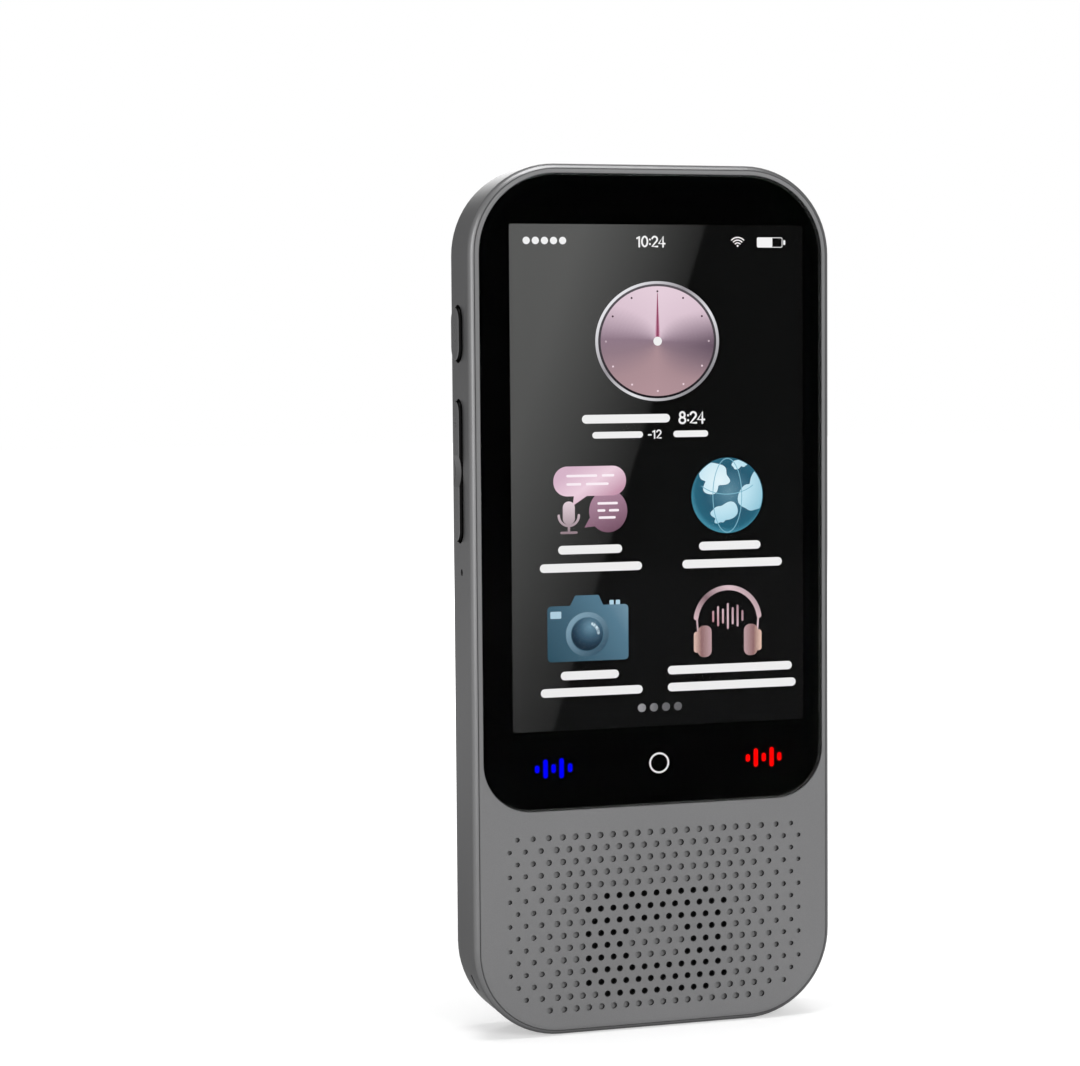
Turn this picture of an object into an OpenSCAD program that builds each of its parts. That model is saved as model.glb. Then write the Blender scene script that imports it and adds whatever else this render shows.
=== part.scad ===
// Pocket voice translator: touch screen, speaker grille below it, side keys, rear camera.
// Millimetres. Z runs up the length, the screen faces -Y, and the origin is the middle
// of the bottom end, on which the device can stand.

/* [Body] */
// Width over the side walls
body_w = 63.8; // [63:0.1:68]
// Length from the bottom end to the top end
body_l = 146; // [144:0.5:154]
// Thickness from the glass to the back cover
body_t = 12.4; // [12.2:0.1:13.6]
// Corner radius of the outline
corner_r = 15; // [14:0.1:17]
// Thickness of the frame's wall
wall_t = 2.2; // [2.1:0.1:2.4]
// Rounding of the front edge, shared by the frame and the front panel
front_round = 1.6; // [1.2:0.1:1.8]
// Rounding of the frame's rear edge
rear_round = 0.5; // [0.3:0.05:0.6]
// Width of the frame's lip beside the front panel
front_lip = 0.8; // [0.7:0.05:1]
// Width of the frame's lip beside the back cover
rear_lip = 0.75; // [0.65:0.05:0.9]

/* [Front panel] */
// Thickness of the front panel
fascia_t = 1.5; // [1.4:0.1:1.8]
// Seam between the frame and the front panel
seam = 0.08; // [0.05:0.01:0.12]
// Rim of the panel round the glass
rim_w = 0.72; // [0.6:0.02:1]
// Height of the plain panel below the glass
chin_h = 38.2; // [36:0.1:40]

/* [Glass and display] */
// Thickness of the cover glass
glass_t = 0.9; // [0.7:0.1:1.1]
// How far the glass stands out of the panel
glass_proud = 0.1; // [0:0.05:0.2]
// Clearance round the glass in its pocket
glass_gap = 0.08; // [0.05:0.01:0.12]
// Corner radius at the lower end of the glass
glass_low_r = 8.4; // [6:0.2:12]
// Chamfer on the edge of the glass
glass_chamfer = 0.2; // [0.1:0.05:0.3]
// Thickness of the ink border behind the glass
print_t = 0.05; // [0.03:0.01:0.08]
// From the side edge of the glass to the clear view
view_side = 4.22; // [3.6:0.02:5]
// How far the clear view lies to the right of the middle
view_x = 1.1; // [0:0.1:1.2]
// From the lower edge of the glass up to the clear view
view_rise = 13.32; // [12:0.02:15]
// From the top end down to the clear view
view_drop = 10; // [9:0.1:11]
// Thickness of the touch sensor
sensor_t = 0.2; // [0.15:0.05:0.3]
// Thickness of the display's glass layers
panel_t = 1; // [0.8:0.1:1.2]
// Thickness of the display's back light
backlight_t = 1.1; // [0.9:0.1:1.3]
// Border of the display module beside the clear view
display_side = 1.5; // [1.2:0.1:1.7]
// Border of the display module above the clear view
display_top = 1.2; // [1:0.1:1.4]
// Border of the display module below the clear view
display_low = 6.6; // [5:0.1:7]

/* [Grille] */
// Diameter of the holes in the middle of the grille
hole_d = 1.1; // [0.9:0.05:1.2]
// Diameter of the holes at its sides
side_hole_d = 0.78; // [0.6:0.02:0.9]
// From the side wall's outside to the outermost column of holes
grille_side = 6; // [5.6:0.1:6.6]
// Distance between two columns near the sides
outer_step = 1.37; // [1.3:0.01:1.4]
// Column at which the wider spacing starts
inner_columns = 16; // [12:1:18]
// Number of columns on each side of the middle
grille_columns = 22; // [20:1:22]
// Number of rows
grille_rows = 15; // [11:1:15]
// From the lower edge of the glass down to the first row
grille_drop = 4.5; // [4:0.1:6]
// From the bottom end up to the last row
grille_foot = 4.44; // [4.2:0.02:5]
// Least distance of a hole's centre from the outline
grille_margin = 3.7; // [3.4:0.1:4.2]
// Depth of the holes that don't go through
dimple_depth = 0.6; // [0.3:0.05:0.8]
// Row in the middle of the field of through holes
mid_row = 10; // [9:1:10]
// Through holes reach this many columns to each side
open_columns = 11; // [9:1:12]
// and this many rows up and down
open_rows = 4; // [3:1:4]
// The field's corners end where columns plus twice the rows pass this
open_corner = 17; // [14:1:18]
// Its closed middle has this many columns on each side
core_columns = 4; // [3:1:5]
// and this many rows up and down
core_rows = 1; // [0:1:1]

/* [Back cover] */
// Thickness of the back cover
cover_t = 1.3; // [1.1:0.1:1.5]
// Groove between the frame and the back cover
groove = 0.3; // [0.2:0.05:0.4]
// Width of the bevel round the back cover
bevel_w = 0.8; // [0.5:0.1:1.2]
// Height of that bevel
bevel_h = 0.35; // [0.2:0.05:0.45]
// Thickness of the rib that centres the cover in the frame
rib_t = 0.8; // [0.6:0.1:1]
// Height of that rib
rib_h = 1.3; // [1:0.1:1.6]
// Clearance between the rib and the frame
rib_gap = 0.12; // [0.08:0.02:0.2]

/* [Camera] */
// Camera's distance from the middle line, towards the power key
camera_x = 1.3; // [0:0.1:3]
// From the top end down to the camera
camera_drop = 19.7; // [19:0.1:23]
// Outer radius of the camera ring
ring_r = 7.2; // [6.8:0.1:7.25]
// Radius of the ring's inner opening
ring_bore_r = 2.85; // [2.6:0.05:3.2]
// Depth of the ring's dish
dish_depth = 0.75; // [0.5:0.05:0.85]
// Clearance of the ring in the back cover
ring_gap = 0.05; // [0.03:0.01:0.1]
// Thickness of the camera window
window_t = 0.4; // [0.3:0.05:0.5]
// Radius of the lens barrel
barrel_r = 2.05; // [1.9:0.05:2.15]
// Radius of the front lens
lens_r = 1.65; // [1.4:0.05:1.8]
// Side of the square camera module
module_w = 8.5; // [8:0.1:9.5]
// Height of the camera module on its board
module_h = 3; // [2.6:0.1:3.2]

/* [Side keys] */
// Middle of the keys, behind the middle of the thickness
key_y = 1.5; // [1:0.1:1.6]
// How far the keys stand out of the wall
key_proud = 0.6; // [0.5:0.05:1]
// Gap round a key in its opening
key_gap = 0.2; // [0.18:0.01:0.25]
// Travel of a key
key_travel = 0.4; // [0.3:0.05:0.5]
// Rounding of a key's outer edge
key_round = 0.5; // [0.3:0.05:0.6]
// Width of the power and photo keys
broad_key_w = 5.2; // [4.8:0.1:5.4]
// Length of the power and photo keys
short_key_l = 9.3; // [8.5:0.1:10]
// Width of the volume and talk keys
slim_key_w = 4.2; // [3.8:0.1:4.6]
// Length of the talk keys
talk_key_l = 11.8; // [10.5:0.1:12.4]
// Length of the volume key
volume_key_l = 23.8; // [22:0.2:26]
// From the top end down to the power key
power_drop = 28; // [27:0.1:29]
// From the top end down to the volume key
volume_drop = 50.9; // [50:0.1:52]
// From the top end down to the photo key
photo_drop = 27.8; // [27:0.1:28.5]
// From the top end down to the upper talk key
blue_drop = 44.7; // [44:0.1:45]
// From the top end down to the lower talk key
red_drop = 58.8; // [58.5:0.1:60]
// Turn of the volume key each way, in degrees
volume_turn = 1.6; // [1.2:0.1:1.7]
// Depth of the dip in the middle of the volume key
dip_depth = 0.45; // [0.2:0.05:0.5]
// Radius of that dip
dip_r = 8; // [6:0.5:12]
// Thickness of the flange behind a key
flange_t = 0.7; // [0.6:0.05:0.8]
// How far that flange reaches past its key
flange_rim = 0.5; // [0.4:0.05:0.6]
// Space behind the wall for flange, switch and board
key_room = 3.2; // [3.1:0.05:3.5]
// Height of the switches
switch_h = 1.1; // [1:0.05:1.15]

/* [Microphones and corner openings] */
// Diameter of the microphone holes in the side walls
mic_hole_d = 1.2; // [1:0.1:1.4]
// Middle of those holes, behind the middle of the thickness
mic_y = 0.5; // [0:0.1:1]
// From the top end down to the microphone hole beside the volume key
left_mic_drop = 67.8; // [67.5:0.1:70]
// From the top end down to the microphone hole above the photo key
right_mic_drop = 18.7; // [18:0.1:19]
// Length of the sound slit at the lower corner
slit_l = 3.2; // [2.6:0.1:4]
// Width of that slit
slit_w = 1.2; // [0.9:0.1:1.4]
// Angle of the slit below the side, in degrees
slit_angle = 25; // [20:1:35]
// Length of the lanyard opening at the upper corner, measured along the curve
lanyard_l = 8.4; // [7:0.1:9]
// Height of the lanyard opening
lanyard_w = 2.8; // [2.4:0.1:3]
// Depth of the lanyard opening
lanyard_depth = 3.7; // [3.4:0.1:4]
// Angle of the lanyard opening above the side, in degrees
lanyard_angle = 60; // [55:1:65]
// Diameter of the lanyard pin
pin_d = 1.4; // [1.2:0.1:1.5]

/* [Inside] */
// Thickness of the chassis sheet
chassis_t = 0.8; // [0.7:0.05:1]
// Thickness of the circuit boards
board_t = 0.8; // [0.7:0.05:1]
// From the chassis to the front face of the boards
board_lift = 1.75; // [1.6:0.05:2]
// Thickness of the battery
battery_t = 5.4; // [4.5:0.1:5.5]
// Height of the main board
board_h = 37.9; // [36:0.1:42]
// Clearance between battery, boards and supports
part_gap = 0.8; // [0.5:0.1:0.9]
// Height of the shield cans
can_h = 1.5; // [1.2:0.1:1.8]
// Height of the lower board
sub_h = 9.5; // [8:0.5:10]
// Width of the USB-C shell
usb_w = 8.94; // [8.9:0.01:9]
// Height of the USB-C shell
usb_h = 3.26; // [3.2:0.01:3.3]
// Length of the USB-C shell
usb_l = 7.35; // [7:0.05:7.6]
// How far the USB-C shell is set back from the top end
usb_inset = 0.35; // [0.2:0.05:0.5]
// Depth of the speaker's rear chamber behind the chassis
chamber_d = 6.6; // [5.5:0.1:6.7]
// Radius of the screw shanks
screw_r = 0.68; // [0.6:0.02:0.7]

/* [Hidden] */
$fn = 64;
eps = 0.5;                                     // overlap of cutting tools past a face

// Levels through the thickness, from the glass to the back cover
glass_y = -body_t / 2;
front_y = glass_y + glass_proud;
seat_y = front_y + fascia_t;                   // rear face of the front panel
glass_back = glass_y + glass_t;
print_back = glass_back + print_t;
sensor_back = print_back + sensor_t;
panel_back = sensor_back + panel_t;
chassis_y = panel_back + backlight_t;          // front face of the chassis
chassis_back = chassis_y + chassis_t;
board_y = chassis_back + board_lift;           // front face of the boards
board_back = board_y + board_t;
back_y = body_t / 2;
cover_in = back_y - cover_t;
lip_y = back_y - bevel_h;                      // rear face of the frame's lip
tape_t = 0.15;
pocket_y = print_back + tape_t;                // floor of the glass pocket

// Outlines, as distances in from the body's own
fascia_in = front_lip + seam;
pocket_in = fascia_in + rim_w;
glass_in = pocket_in + glass_gap;
glass_w = body_w - 2 * glass_in;
glass_top = body_l - glass_in;
glass_low = chin_h + glass_gap;
glass_r = corner_r - glass_in;
cover_edge = rear_lip + groove;
inner_x = body_w / 2 - wall_t;                 // inner face of the side walls
inner_r = corner_r - wall_t;
rib_in = wall_t + rib_gap;

// Display
view_top = body_l - view_drop;
view_low = glass_low + view_rise;
view_w = glass_w - 2 * view_side;
display_w = view_w + 2 * display_side;
display_z1 = view_top + display_top;
display_z0 = view_low - display_low;
window_gap = 0.3;
window_r = 1.5;
view_r = 0.3;

// Grille
side_columns = grille_columns - inner_columns;
hole_step = (body_w / 2 - grille_side - side_columns * outer_step) / inner_columns;
row_pitch = (chin_h - grille_drop - grille_foot) / (grille_rows - 1);
grille_z = row_z(mid_row);                     // middle of the field and of the speaker
function row_z(row) = chin_h - grille_drop - (row - 1) * row_pitch;
function column_x(i) =
    sign(i) * (min(abs(i), inner_columns) * hole_step + max(abs(i) - inner_columns, 0) * outer_step);
function grille_hole_d(x) =
    let (x0 = column_x(inner_columns), x1 = column_x(grille_columns))
    hole_d - (hole_d - side_hole_d) * max(0, abs(x) - x0) / (x1 - x0);
function in_outline(x, z, margin) =
    let (dx = abs(x) - (body_w / 2 - corner_r), dz = max(corner_r - z, 0))
    dx <= 0 ? z >= margin : sqrt(dx * dx + dz * dz) <= corner_r - margin;
function is_open(i, row) =
    let (columns = abs(i), rows = abs(row - mid_row))
    columns <= open_columns && rows <= open_rows && columns + 2 * rows <= open_corner
    && !(columns <= core_columns && rows <= core_rows);

// Camera
camera_z = body_l - camera_drop;
window_y = back_y - dish_depth - 0.1;          // outer face of the camera window
ring_flange_r = ring_r + 1;
ring_flange_t = 0.7;
ledge_r = barrel_r + 0.15;
module_back = board_back + module_h;
barrel_back = window_y - window_t - 0.1;
ring_front = cover_in - ring_flange_t;         // face of the ring's flange towards the board

// Side keys, measured outwards on the +X side
flange_gap = 0.1;
rocker_gap = 0.42;
flex_t = 0.15;
flex_x = inner_x - key_room;                   // outer face of the chassis upstands
switch_x = flex_x + flex_t;
plunger_h = 0.3;
plunger_x = switch_x + switch_h + plunger_h;
nub_r = 0.8;
nub_x = plunger_x + key_travel + 0.05;
upstand_t = 0.6;
upstand_x = flex_x - upstand_t;                // inner face of the upstands
switch_w = 2.6;
switch_l = 3;
rocker_reach = 8;                              // of the volume switches from the pivot
pivot_r = 0.5;
rocker_flange_x = inner_x - rocker_gap - flange_t;
pivot_x = rocker_flange_x - 0.3;
power_z = body_l - power_drop;
volume_z = body_l - volume_drop;
photo_z = body_l - photo_drop;
blue_z = body_l - blue_drop;
red_z = body_l - red_drop;
left_mic_z = body_l - left_mic_drop;
right_mic_z = body_l - right_mic_drop;
zone_margin = 3;                               // of an upstand past the last thing on it
left_zone = [left_mic_z - zone_margin, power_z + short_key_l / 2 + zone_margin];
right_zone = [red_z - talk_key_l / 2 - zone_margin, right_mic_z + zone_margin];

// Microphones
mic_t = 1.1;
mic_w = 2.4;
mic_l = 3;
boot_r = 1.6;
boot_bore_r = 0.5;
boot_x = switch_x + mic_t;                     // inner end of the boots
corner_boot_t = 2;
corner_boot_r = inner_r - corner_boot_t - 0.3; // of its inner face, from the corner's centre

// Lanyard pin
pin_inset = 1.2;                               // of its middle from the corner's face
pin_end = lanyard_w / 2 + 1;

// Fixings: [x, z] of the frame's screws on the +X side
lug_t = 1.5;
lug_r = 2;
lug_off = 0.7;                                 // of a lug from the end wall
tab_half = usb_w / 2 + 4.5;                    // of the main board's tab for the socket
low_fix = [body_w / 2 - corner_r + 4.3, wall_t + lug_off + lug_r];
top_fix = [tab_half + 3.5 + lug_r, body_l - low_fix[1]];
mid_fix = [inner_x - 2.5, display_z0 - 4.2];
fixings = [low_fix, mid_fix, top_fix];
boss_r = 1.5;
head_r = 1.25;
head_h = 0.6;
thread_r = screw_r + 0.02;
pass_r = screw_r + 0.12;

// Boards, battery and connectors
board_half = upstand_x - 0.25;
board_top = top_fix[1] - lug_r - 0.6;
board_low = board_top - board_h;
board_r = 9;
usb_front = body_l - usb_inset;
usb_base = usb_front - usb_l;
usb_gap = 0.15;
usb_wall = 0.25;
tab_top = body_l - wall_t - 0.4;
sub_top = mid_fix[1] - 1.2;
sub_low = sub_top - sub_h;
sub_half = mid_fix[0] - lug_r - 0.6;
battery_half = upstand_x - part_gap;
battery_z0 = sub_top + 5.8;
battery_z1 = board_low - 3.2;
adhesive_t = 0.1;
battery_back = chassis_back + adhesive_t + battery_t;
standoff_r = 1.5;
post_in = 2.6;                                 // of a post from the board's side
post_up = 3;
board_posts = [[board_half - post_in, board_low + post_up],
    [board_half - post_in, board_top - board_r]];
sub_posts = [[sub_half - post_in, sub_low + sub_h / 2]];
ribbon_w = 7;
ribbon_t = 0.15;
can_x = board_half - post_in - 4;              // outer side of the cans
can_z0 = board_low + 4;
can_z1 = camera_z - module_w / 2 - 4.4;
cans = [[-can_x, -can_x / 3], [-can_x / 6, can_x]];
chips = [cans[0], [cans[1][0], can_x / 2], [can_x / 2, can_x]];
lead_x = battery_half / 2;
frame_screw_l = 3.2;
board_screw_l = 2.6;

// Speaker
mesh_t = 0.1;
gasket_t = 0.6;
gasket_w = 1.3;
gasket_rim = hole_d / 2 + 0.1 + gasket_w;      // from the last open holes to its outside
basket_half = column_x(open_columns) + gasket_rim;
basket_tall = open_rows * row_pitch + gasket_rim;
basket_y = seat_y + mesh_t + gasket_t;
basket_t = 0.9;
basket_back = chassis_back + basket_t + 2;
basket_r = 3;
ear = 1.2;
basket_gap = 0.2;
magnet_half = 0.64 * basket_half;
magnet_tall = 0.61 * basket_tall;
chamber_half = low_fix[0] - lug_r - 1.2;
chamber_wall = 0.8;
chamber_z0 = wall_t + rib_gap + rib_t + 0.3;
chamber_z1 = grille_z + basket_tall + 2.6;

// ---- shapes shared by several pieces ----

// Plate in the X-Z plane from depth y0 to depth y1
module plate(y0, y1) {
    translate([0, y1, 0]) rotate([90, 0, 0]) linear_extrude(y1 - y0) children();
}

// Rod along Y
module rod(r, y0, y1, x = 0, z = 0) {
    translate([x, y1, z]) rotate([90, 0, 0]) cylinder(r = r, h = y1 - y0);
}

// Rectangle in the X-Z plane, w wide round the middle line, from z0 up to z1,
// with corner radius rt above and rb below
module rounded(w, z0, z1, rt, rb) {
    translate([-w / 2, z0 + rb]) square([w, z1 - z0 - rt - rb]);
    translate([rt - w / 2, z1 - 2 * rt]) square([w - 2 * rt, 2 * rt]);
    translate([rb - w / 2, z0]) square([w - 2 * rb, 2 * rb]);
    for (s = [-1, 1]) {
        translate([s * (w / 2 - rt), z1 - rt]) circle(r = rt);
        translate([s * (w / 2 - rb), z0 + rb]) circle(r = rb);
    }
}

// The body's outline, drawn in by an inset
module outline(inset) {
    rounded(body_w - 2 * inset, inset, body_l - inset, corner_r - inset, corner_r - inset);
}

// The display's outline, grown by a gap
module display_outline(gap, r) {
    rounded(display_w + 2 * gap, display_z0 - gap, display_z1 + gap, r, r);
}

// A rounded rectangle round the speaker's middle
module speaker_outline(half, tall, r) {
    rounded(2 * half, grille_z - tall, grille_z + tall, r, r);
}

// Quarter turn of a section [inset, y] round a corner of radius r
module quarter(r) {
    rotate([90, 0, 0]) rotate_extrude(angle = 90) translate([r, 0]) rotate(180) children();
}

// A section [inset, y] carried round a rounded rectangle
module band(w, z0, z1, rt, rb) {
    for (s = [0, 1]) mirror([s, 0, 0]) {
        translate([w / 2 - rt, 0, z1 - rt]) quarter(rt) children();
        translate([w / 2 - rb, 0, z0 + rb]) mirror([0, 0, 1]) quarter(rb) children();
        translate([w / 2, 0, z0 + rb]) linear_extrude(z1 - z0 - rt - rb) mirror([1, 0]) children();
    }
    translate([rt - w / 2, 0, z1]) rotate([0, 90, 0]) linear_extrude(w - 2 * rt) children();
    translate([rb - w / 2, 0, z0]) mirror([0, 0, 1]) rotate([0, 90, 0])
        linear_extrude(w - 2 * rb) children();
}

// A section carried round the body's own outline
module body_band() {
    band(body_w, 0, body_l, corner_r, corner_r) children();
}

// Long hole or bar with round ends, l long and w wide
module pill(l, w) {
    square([l - w, w], center = true);
    for (s = [-1, 1]) translate([s * (l - w) / 2, 0]) circle(d = w);
}

// Pill of length l along Z and width w along Y, from x0 out to x1, at height z
module side_pill(l, w, x0, x1, z) {
    translate([x0, key_y, z]) rotate([0, 90, 0]) linear_extrude(x1 - x0) pill(l, w);
}

// Pill whose outer edge is rounded, standing on Z = 0 with its length along X
module cap_section(w, h, r) {
    difference() {
        square([w / 2, h]);
        translate([w / 2 - r, h - r]) difference() {
            square(r + eps);
            circle(r = r);
        }
    }
}

module rounded_pill(l, w, h, r) {
    for (s = [0, 1]) mirror([s, 0, 0]) translate([(l - w) / 2, 0, 0])
        rotate([0, 0, -90]) rotate_extrude(angle = 180) cap_section(w, h, r);
    translate([-(l - w) / 2, 0, 0]) rotate([90, 0, 90]) linear_extrude(l - w) {
        cap_section(w, h, r);
        mirror([1, 0]) cap_section(w, h, r);
    }
}

// Children drawn for the +X side, kept there for side 1 and mirrored for side -1
module on_side(side) {
    mirror([side < 0 ? 1 : 0, 0, 0]) children();
}

// Tool at an angle on a corner: turns its children from +X about the corner's centre
module at_corner(angle) {
    rotate([0, -angle, 0]) children();
}

// Slot with round ends that follows a corner of radius corner_r, from r0 to r1
module corner_slot(l, w, r0, r1) {
    span = (l - w) / corner_r * 180 / PI;
    at_corner(-span / 2) rotate([90, 0, 0]) rotate_extrude(angle = span)
        translate([r0, -w / 2]) square([r1 - r0, w]);
    for (s = [-1, 1]) at_corner(s * span / 2) translate([r0, 0, 0]) rotate([0, 90, 0])
        cylinder(d = w, h = r1 - r0);
}

module upper_corner() {
    translate([body_w / 2 - corner_r, 0, body_l - corner_r]) children();
}

module lower_corner() {
    translate([corner_r - body_w / 2, 0, corner_r]) mirror([1, 0, 0]) mirror([0, 0, 1]) children();
}

// Box from one corner to the opposite one
module block(from, to) {
    translate(from) cube(to - from);
}

// ---- frame, front and back ----

// What a rounding of radius r takes off a section's corner at [0, 0]
module edge_cut(r) {
    difference() {
        translate([-eps, -eps]) square(r + eps);
        translate([r, r]) circle(r = r);
    }
}

module frame_section() {
    difference() {
        translate([0, front_y]) square([wall_t, lip_y - front_y]);
        translate([0, front_y]) edge_cut(front_round);
        translate([0, lip_y]) mirror([0, 1]) edge_cut(rear_round);
        translate([front_lip, front_y - eps]) square([wall_t, fascia_t + eps]);
        translate([rear_lip, cover_in]) square([wall_t, cover_t]);
    }
}

// Square lug at a fixing, carried on into the wall by a reach in x and z
module lug(at, reach) {
    low = [min(0, reach[0]) - lug_r, min(0, reach[1]) - lug_r];
    high = [max(0, reach[0]) + lug_r, max(0, reach[1]) + lug_r];
    translate([at[0], 0, at[1]])
        block([low[0], chassis_back, low[1]], [high[0], chassis_back + lug_t, high[1]]);
}

module frame_lugs() {
    intersection() {
        union() {
            lug(low_fix, [0, -lug_r]);
            lug(mid_fix, [lug_r, 0]);
            lug(top_fix, [0, lug_r]);
        }
        plate(chassis_back - eps, chassis_back + lug_t + eps) outline(wall_t / 2);
    }
}

module lanyard_floor() {
    floor_t = 1;
    span = lanyard_l / corner_r * 180 / PI + 10;
    upper_corner() at_corner(lanyard_angle - span / 2) rotate([90, 0, 0])
        rotate_extrude(angle = span)
            translate([corner_r - lanyard_depth - floor_t, -lanyard_w / 2 - 0.7])
                square([lanyard_depth + floor_t - wall_t / 2, lanyard_w + 1.4]);
}

module side_frame() {
    usb_slot_gap = 0.2;
    color([0.55, 0.55, 0.56]) difference() {
        union() {
            body_band() frame_section();
            for (s = [0, 1]) mirror([s, 0, 0]) frame_lugs();
            lanyard_floor();
        }
        // openings for the keys
        key_opening(short_key_l, broad_key_w, power_z, -1);
        key_opening(volume_key_l, slim_key_w, volume_z, -1);
        key_opening(short_key_l, broad_key_w, photo_z, 1);
        key_opening(talk_key_l, slim_key_w, blue_z, 1);
        key_opening(talk_key_l, slim_key_w, red_z, 1);
        // microphone holes and the sound slit
        mic_hole(left_mic_z, -1);
        mic_hole(right_mic_z, 1);
        lower_corner() at_corner(slit_angle)
            corner_slot(slit_l, slit_w, inner_r - eps, corner_r + eps);
        // opening for the USB-C plug
        translate([0, 0, body_l - wall_t - eps]) linear_extrude(wall_t + 2 * eps)
            pill(usb_w + 2 * usb_slot_gap, usb_h + 2 * usb_slot_gap);
        // lanyard opening and the hole that its pin is pressed into
        upper_corner() at_corner(lanyard_angle)
            corner_slot(lanyard_l, lanyard_w, corner_r - lanyard_depth, corner_r + eps);
        upper_corner() at_corner(lanyard_angle)
            rod(pin_d / 2 + 0.02, seat_y - eps, pin_end + 0.1, corner_r - pin_inset);
        for (s = [-1, 1], at = fixings)
            rod(pass_r, chassis_back - eps, chassis_back + lug_t + eps, s * at[0], at[1]);
    }
}

module key_opening(l, w, z, side) {
    cut_l = l + 2 * key_gap;
    cut_w = w + 2 * key_gap;
    on_side(side) side_pill(cut_l, cut_w, inner_x - eps, body_w / 2 + eps, z);
}

module mic_hole(z, side) {
    on_side(side) translate([inner_x - eps, mic_y, z]) rotate([0, 90, 0])
        cylinder(d = mic_hole_d, h = wall_t + 2 * eps);
}

module lanyard_pin() {
    color([0.7, 0.7, 0.72]) upper_corner() at_corner(lanyard_angle)
        rod(pin_d / 2, seat_y, pin_end, corner_r - pin_inset);
}

module fascia_section() {
    difference() {
        translate([fascia_in, front_y]) square([pocket_in + 2, fascia_t]);
        translate([0, front_y]) edge_cut(front_round);
    }
}

module front_fascia() {
    color([0.49, 0.485, 0.49]) difference() {
        union() {
            body_band() fascia_section();
            plate(front_y, seat_y) outline(pocket_in + 1);
        }
        plate(glass_y - eps, pocket_y) rounded(body_w - 2 * pocket_in, chin_h, body_l - pocket_in,
            corner_r - pocket_in, glass_low_r + glass_gap);
        plate(pocket_y - eps, seat_y + eps) display_outline(window_gap, window_r);
        for (row = [1 : grille_rows], i = [-grille_columns : grille_columns]) {
            x = column_x(i);
            z = row_z(row);
            end_y = is_open(i, row) ? seat_y + eps : front_y + dimple_depth;
            if ((row + i) % 2 == 0 && in_outline(x, z, grille_margin))
                rod(grille_hole_d(x) / 2, front_y - eps, end_y, x, z);
        }
    }
}

module glass_section() {
    polygon([[0, glass_back], [0, glass_y + glass_chamfer], [glass_chamfer, glass_y],
        [3, glass_y], [3, glass_back]]);
}

// The glass's outline, drawn in by an inset
module glass_outline(inset) {
    rounded(glass_w - 2 * inset, glass_low + inset, glass_top - inset,
        glass_r - inset, glass_low_r - inset);
}

module cover_glass() {
    color([0.02, 0.02, 0.025]) {
        band(glass_w, glass_low, glass_top, glass_r, glass_low_r) glass_section();
        plate(glass_y, glass_back) glass_outline(2);
    }
}

module border_print() {
    color([0.01, 0.01, 0.01]) plate(glass_back, print_back) difference() {
        glass_outline(0.25);
        translate([view_x, 0]) rounded(view_w, view_low, view_top, view_r, view_r);
    }
}

module glass_tape() {
    color([0.1, 0.1, 0.1]) plate(print_back, pocket_y) difference() {
        glass_outline(0.4);
        display_outline(window_gap + 0.2, window_r);
    }
}

module touch_sensor() {
    color([0.15, 0.15, 0.16]) plate(print_back, sensor_back) display_outline(0.1, 1);
}

module display_panel() {
    color([0.03, 0.03, 0.04]) plate(sensor_back, panel_back) display_outline(0, 0.5);
}

module display_backlight() {
    color([0.85, 0.85, 0.86]) plate(panel_back, chassis_y) display_outline(0, 0.5);
}

// Ribbon with a path in the Y-Z plane, w wide and t thick, centred on x
module ribbon(path, w, x) {
    translate([x - w / 2, 0, 0]) rotate([90, 0, 90]) linear_extrude(w) polygon(path);
}

module display_flex() {
    t = ribbon_t;
    y0 = panel_back - t;
    y1 = board_y;
    z0 = display_z0;
    z1 = z0 - 1.4;
    z2 = sub_top - 2.5;
    color([0.75, 0.5, 0.15]) ribbon([[y0, z0], [y0, z1], [y1 - t, z1], [y1 - t, z2], [y1, z2],
        [y1, z1 + t], [y0 + t, z1 + t], [y0 + t, z0]], 2 * ribbon_w, 0);
}

module cover_section() {
    polygon([[cover_edge, cover_in], [cover_edge, lip_y], [cover_edge + bevel_w, back_y],
        [cover_edge + bevel_w + 2, back_y], [cover_edge + bevel_w + 2, cover_in]]);
}

module back_cover() {
    color([0.42, 0.42, 0.43]) difference() {
        union() {
            body_band() cover_section();
            plate(cover_in, back_y) outline(cover_edge + bevel_w + 1);
            difference() {
                body_band() translate([rib_in, cover_in - rib_h]) square([rib_t, rib_h + cover_t / 2]);
                block([-body_w, cover_in - 2 * rib_h, left_zone[0]], [0, cover_in, left_zone[1]]);
                block([0, cover_in - 2 * rib_h, right_zone[0]], [body_w, cover_in, right_zone[1]]);
            }
        }
        rod(ring_r + ring_gap, cover_in - eps, back_y + eps, -camera_x, camera_z);
    }
}

// ---- chassis and its screws ----

module chassis() {
    side_gap = 0.15;
    color([0.66, 0.67, 0.68]) difference() {
        union() {
            plate(chassis_y, chassis_back) difference() {
                outline(wall_t + side_gap);
                speaker_outline(basket_half + basket_gap, basket_tall + basket_gap, basket_r);
                mirror([1, 0]) side_notch(left_zone);
                side_notch(right_zone);
                translate([-ribbon_w - 0.3, display_z0 - 1.9]) square([2 * ribbon_w + 0.6, 1.2]);
            }
            upstand(left_zone, -1);
            upstand(right_zone, 1);
            for (s = [-1, 1]) {
                for (at = fixings) rod(boss_r, seat_y, chassis_y + eps / 2, s * at[0], at[1]);
                for (at = concat(board_posts, sub_posts))
                    rod(standoff_r, chassis_back - eps / 2, board_y, s * at[0], at[1]);
            }
        }
        for (s = [-1, 1]) {
            for (at = fixings) rod(thread_r, seat_y + 0.3, chassis_back + eps, s * at[0], at[1]);
            for (at = concat(board_posts, sub_posts))
                rod(thread_r, chassis_y + 0.3, board_y + eps, s * at[0], at[1]);
        }
    }
}

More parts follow.
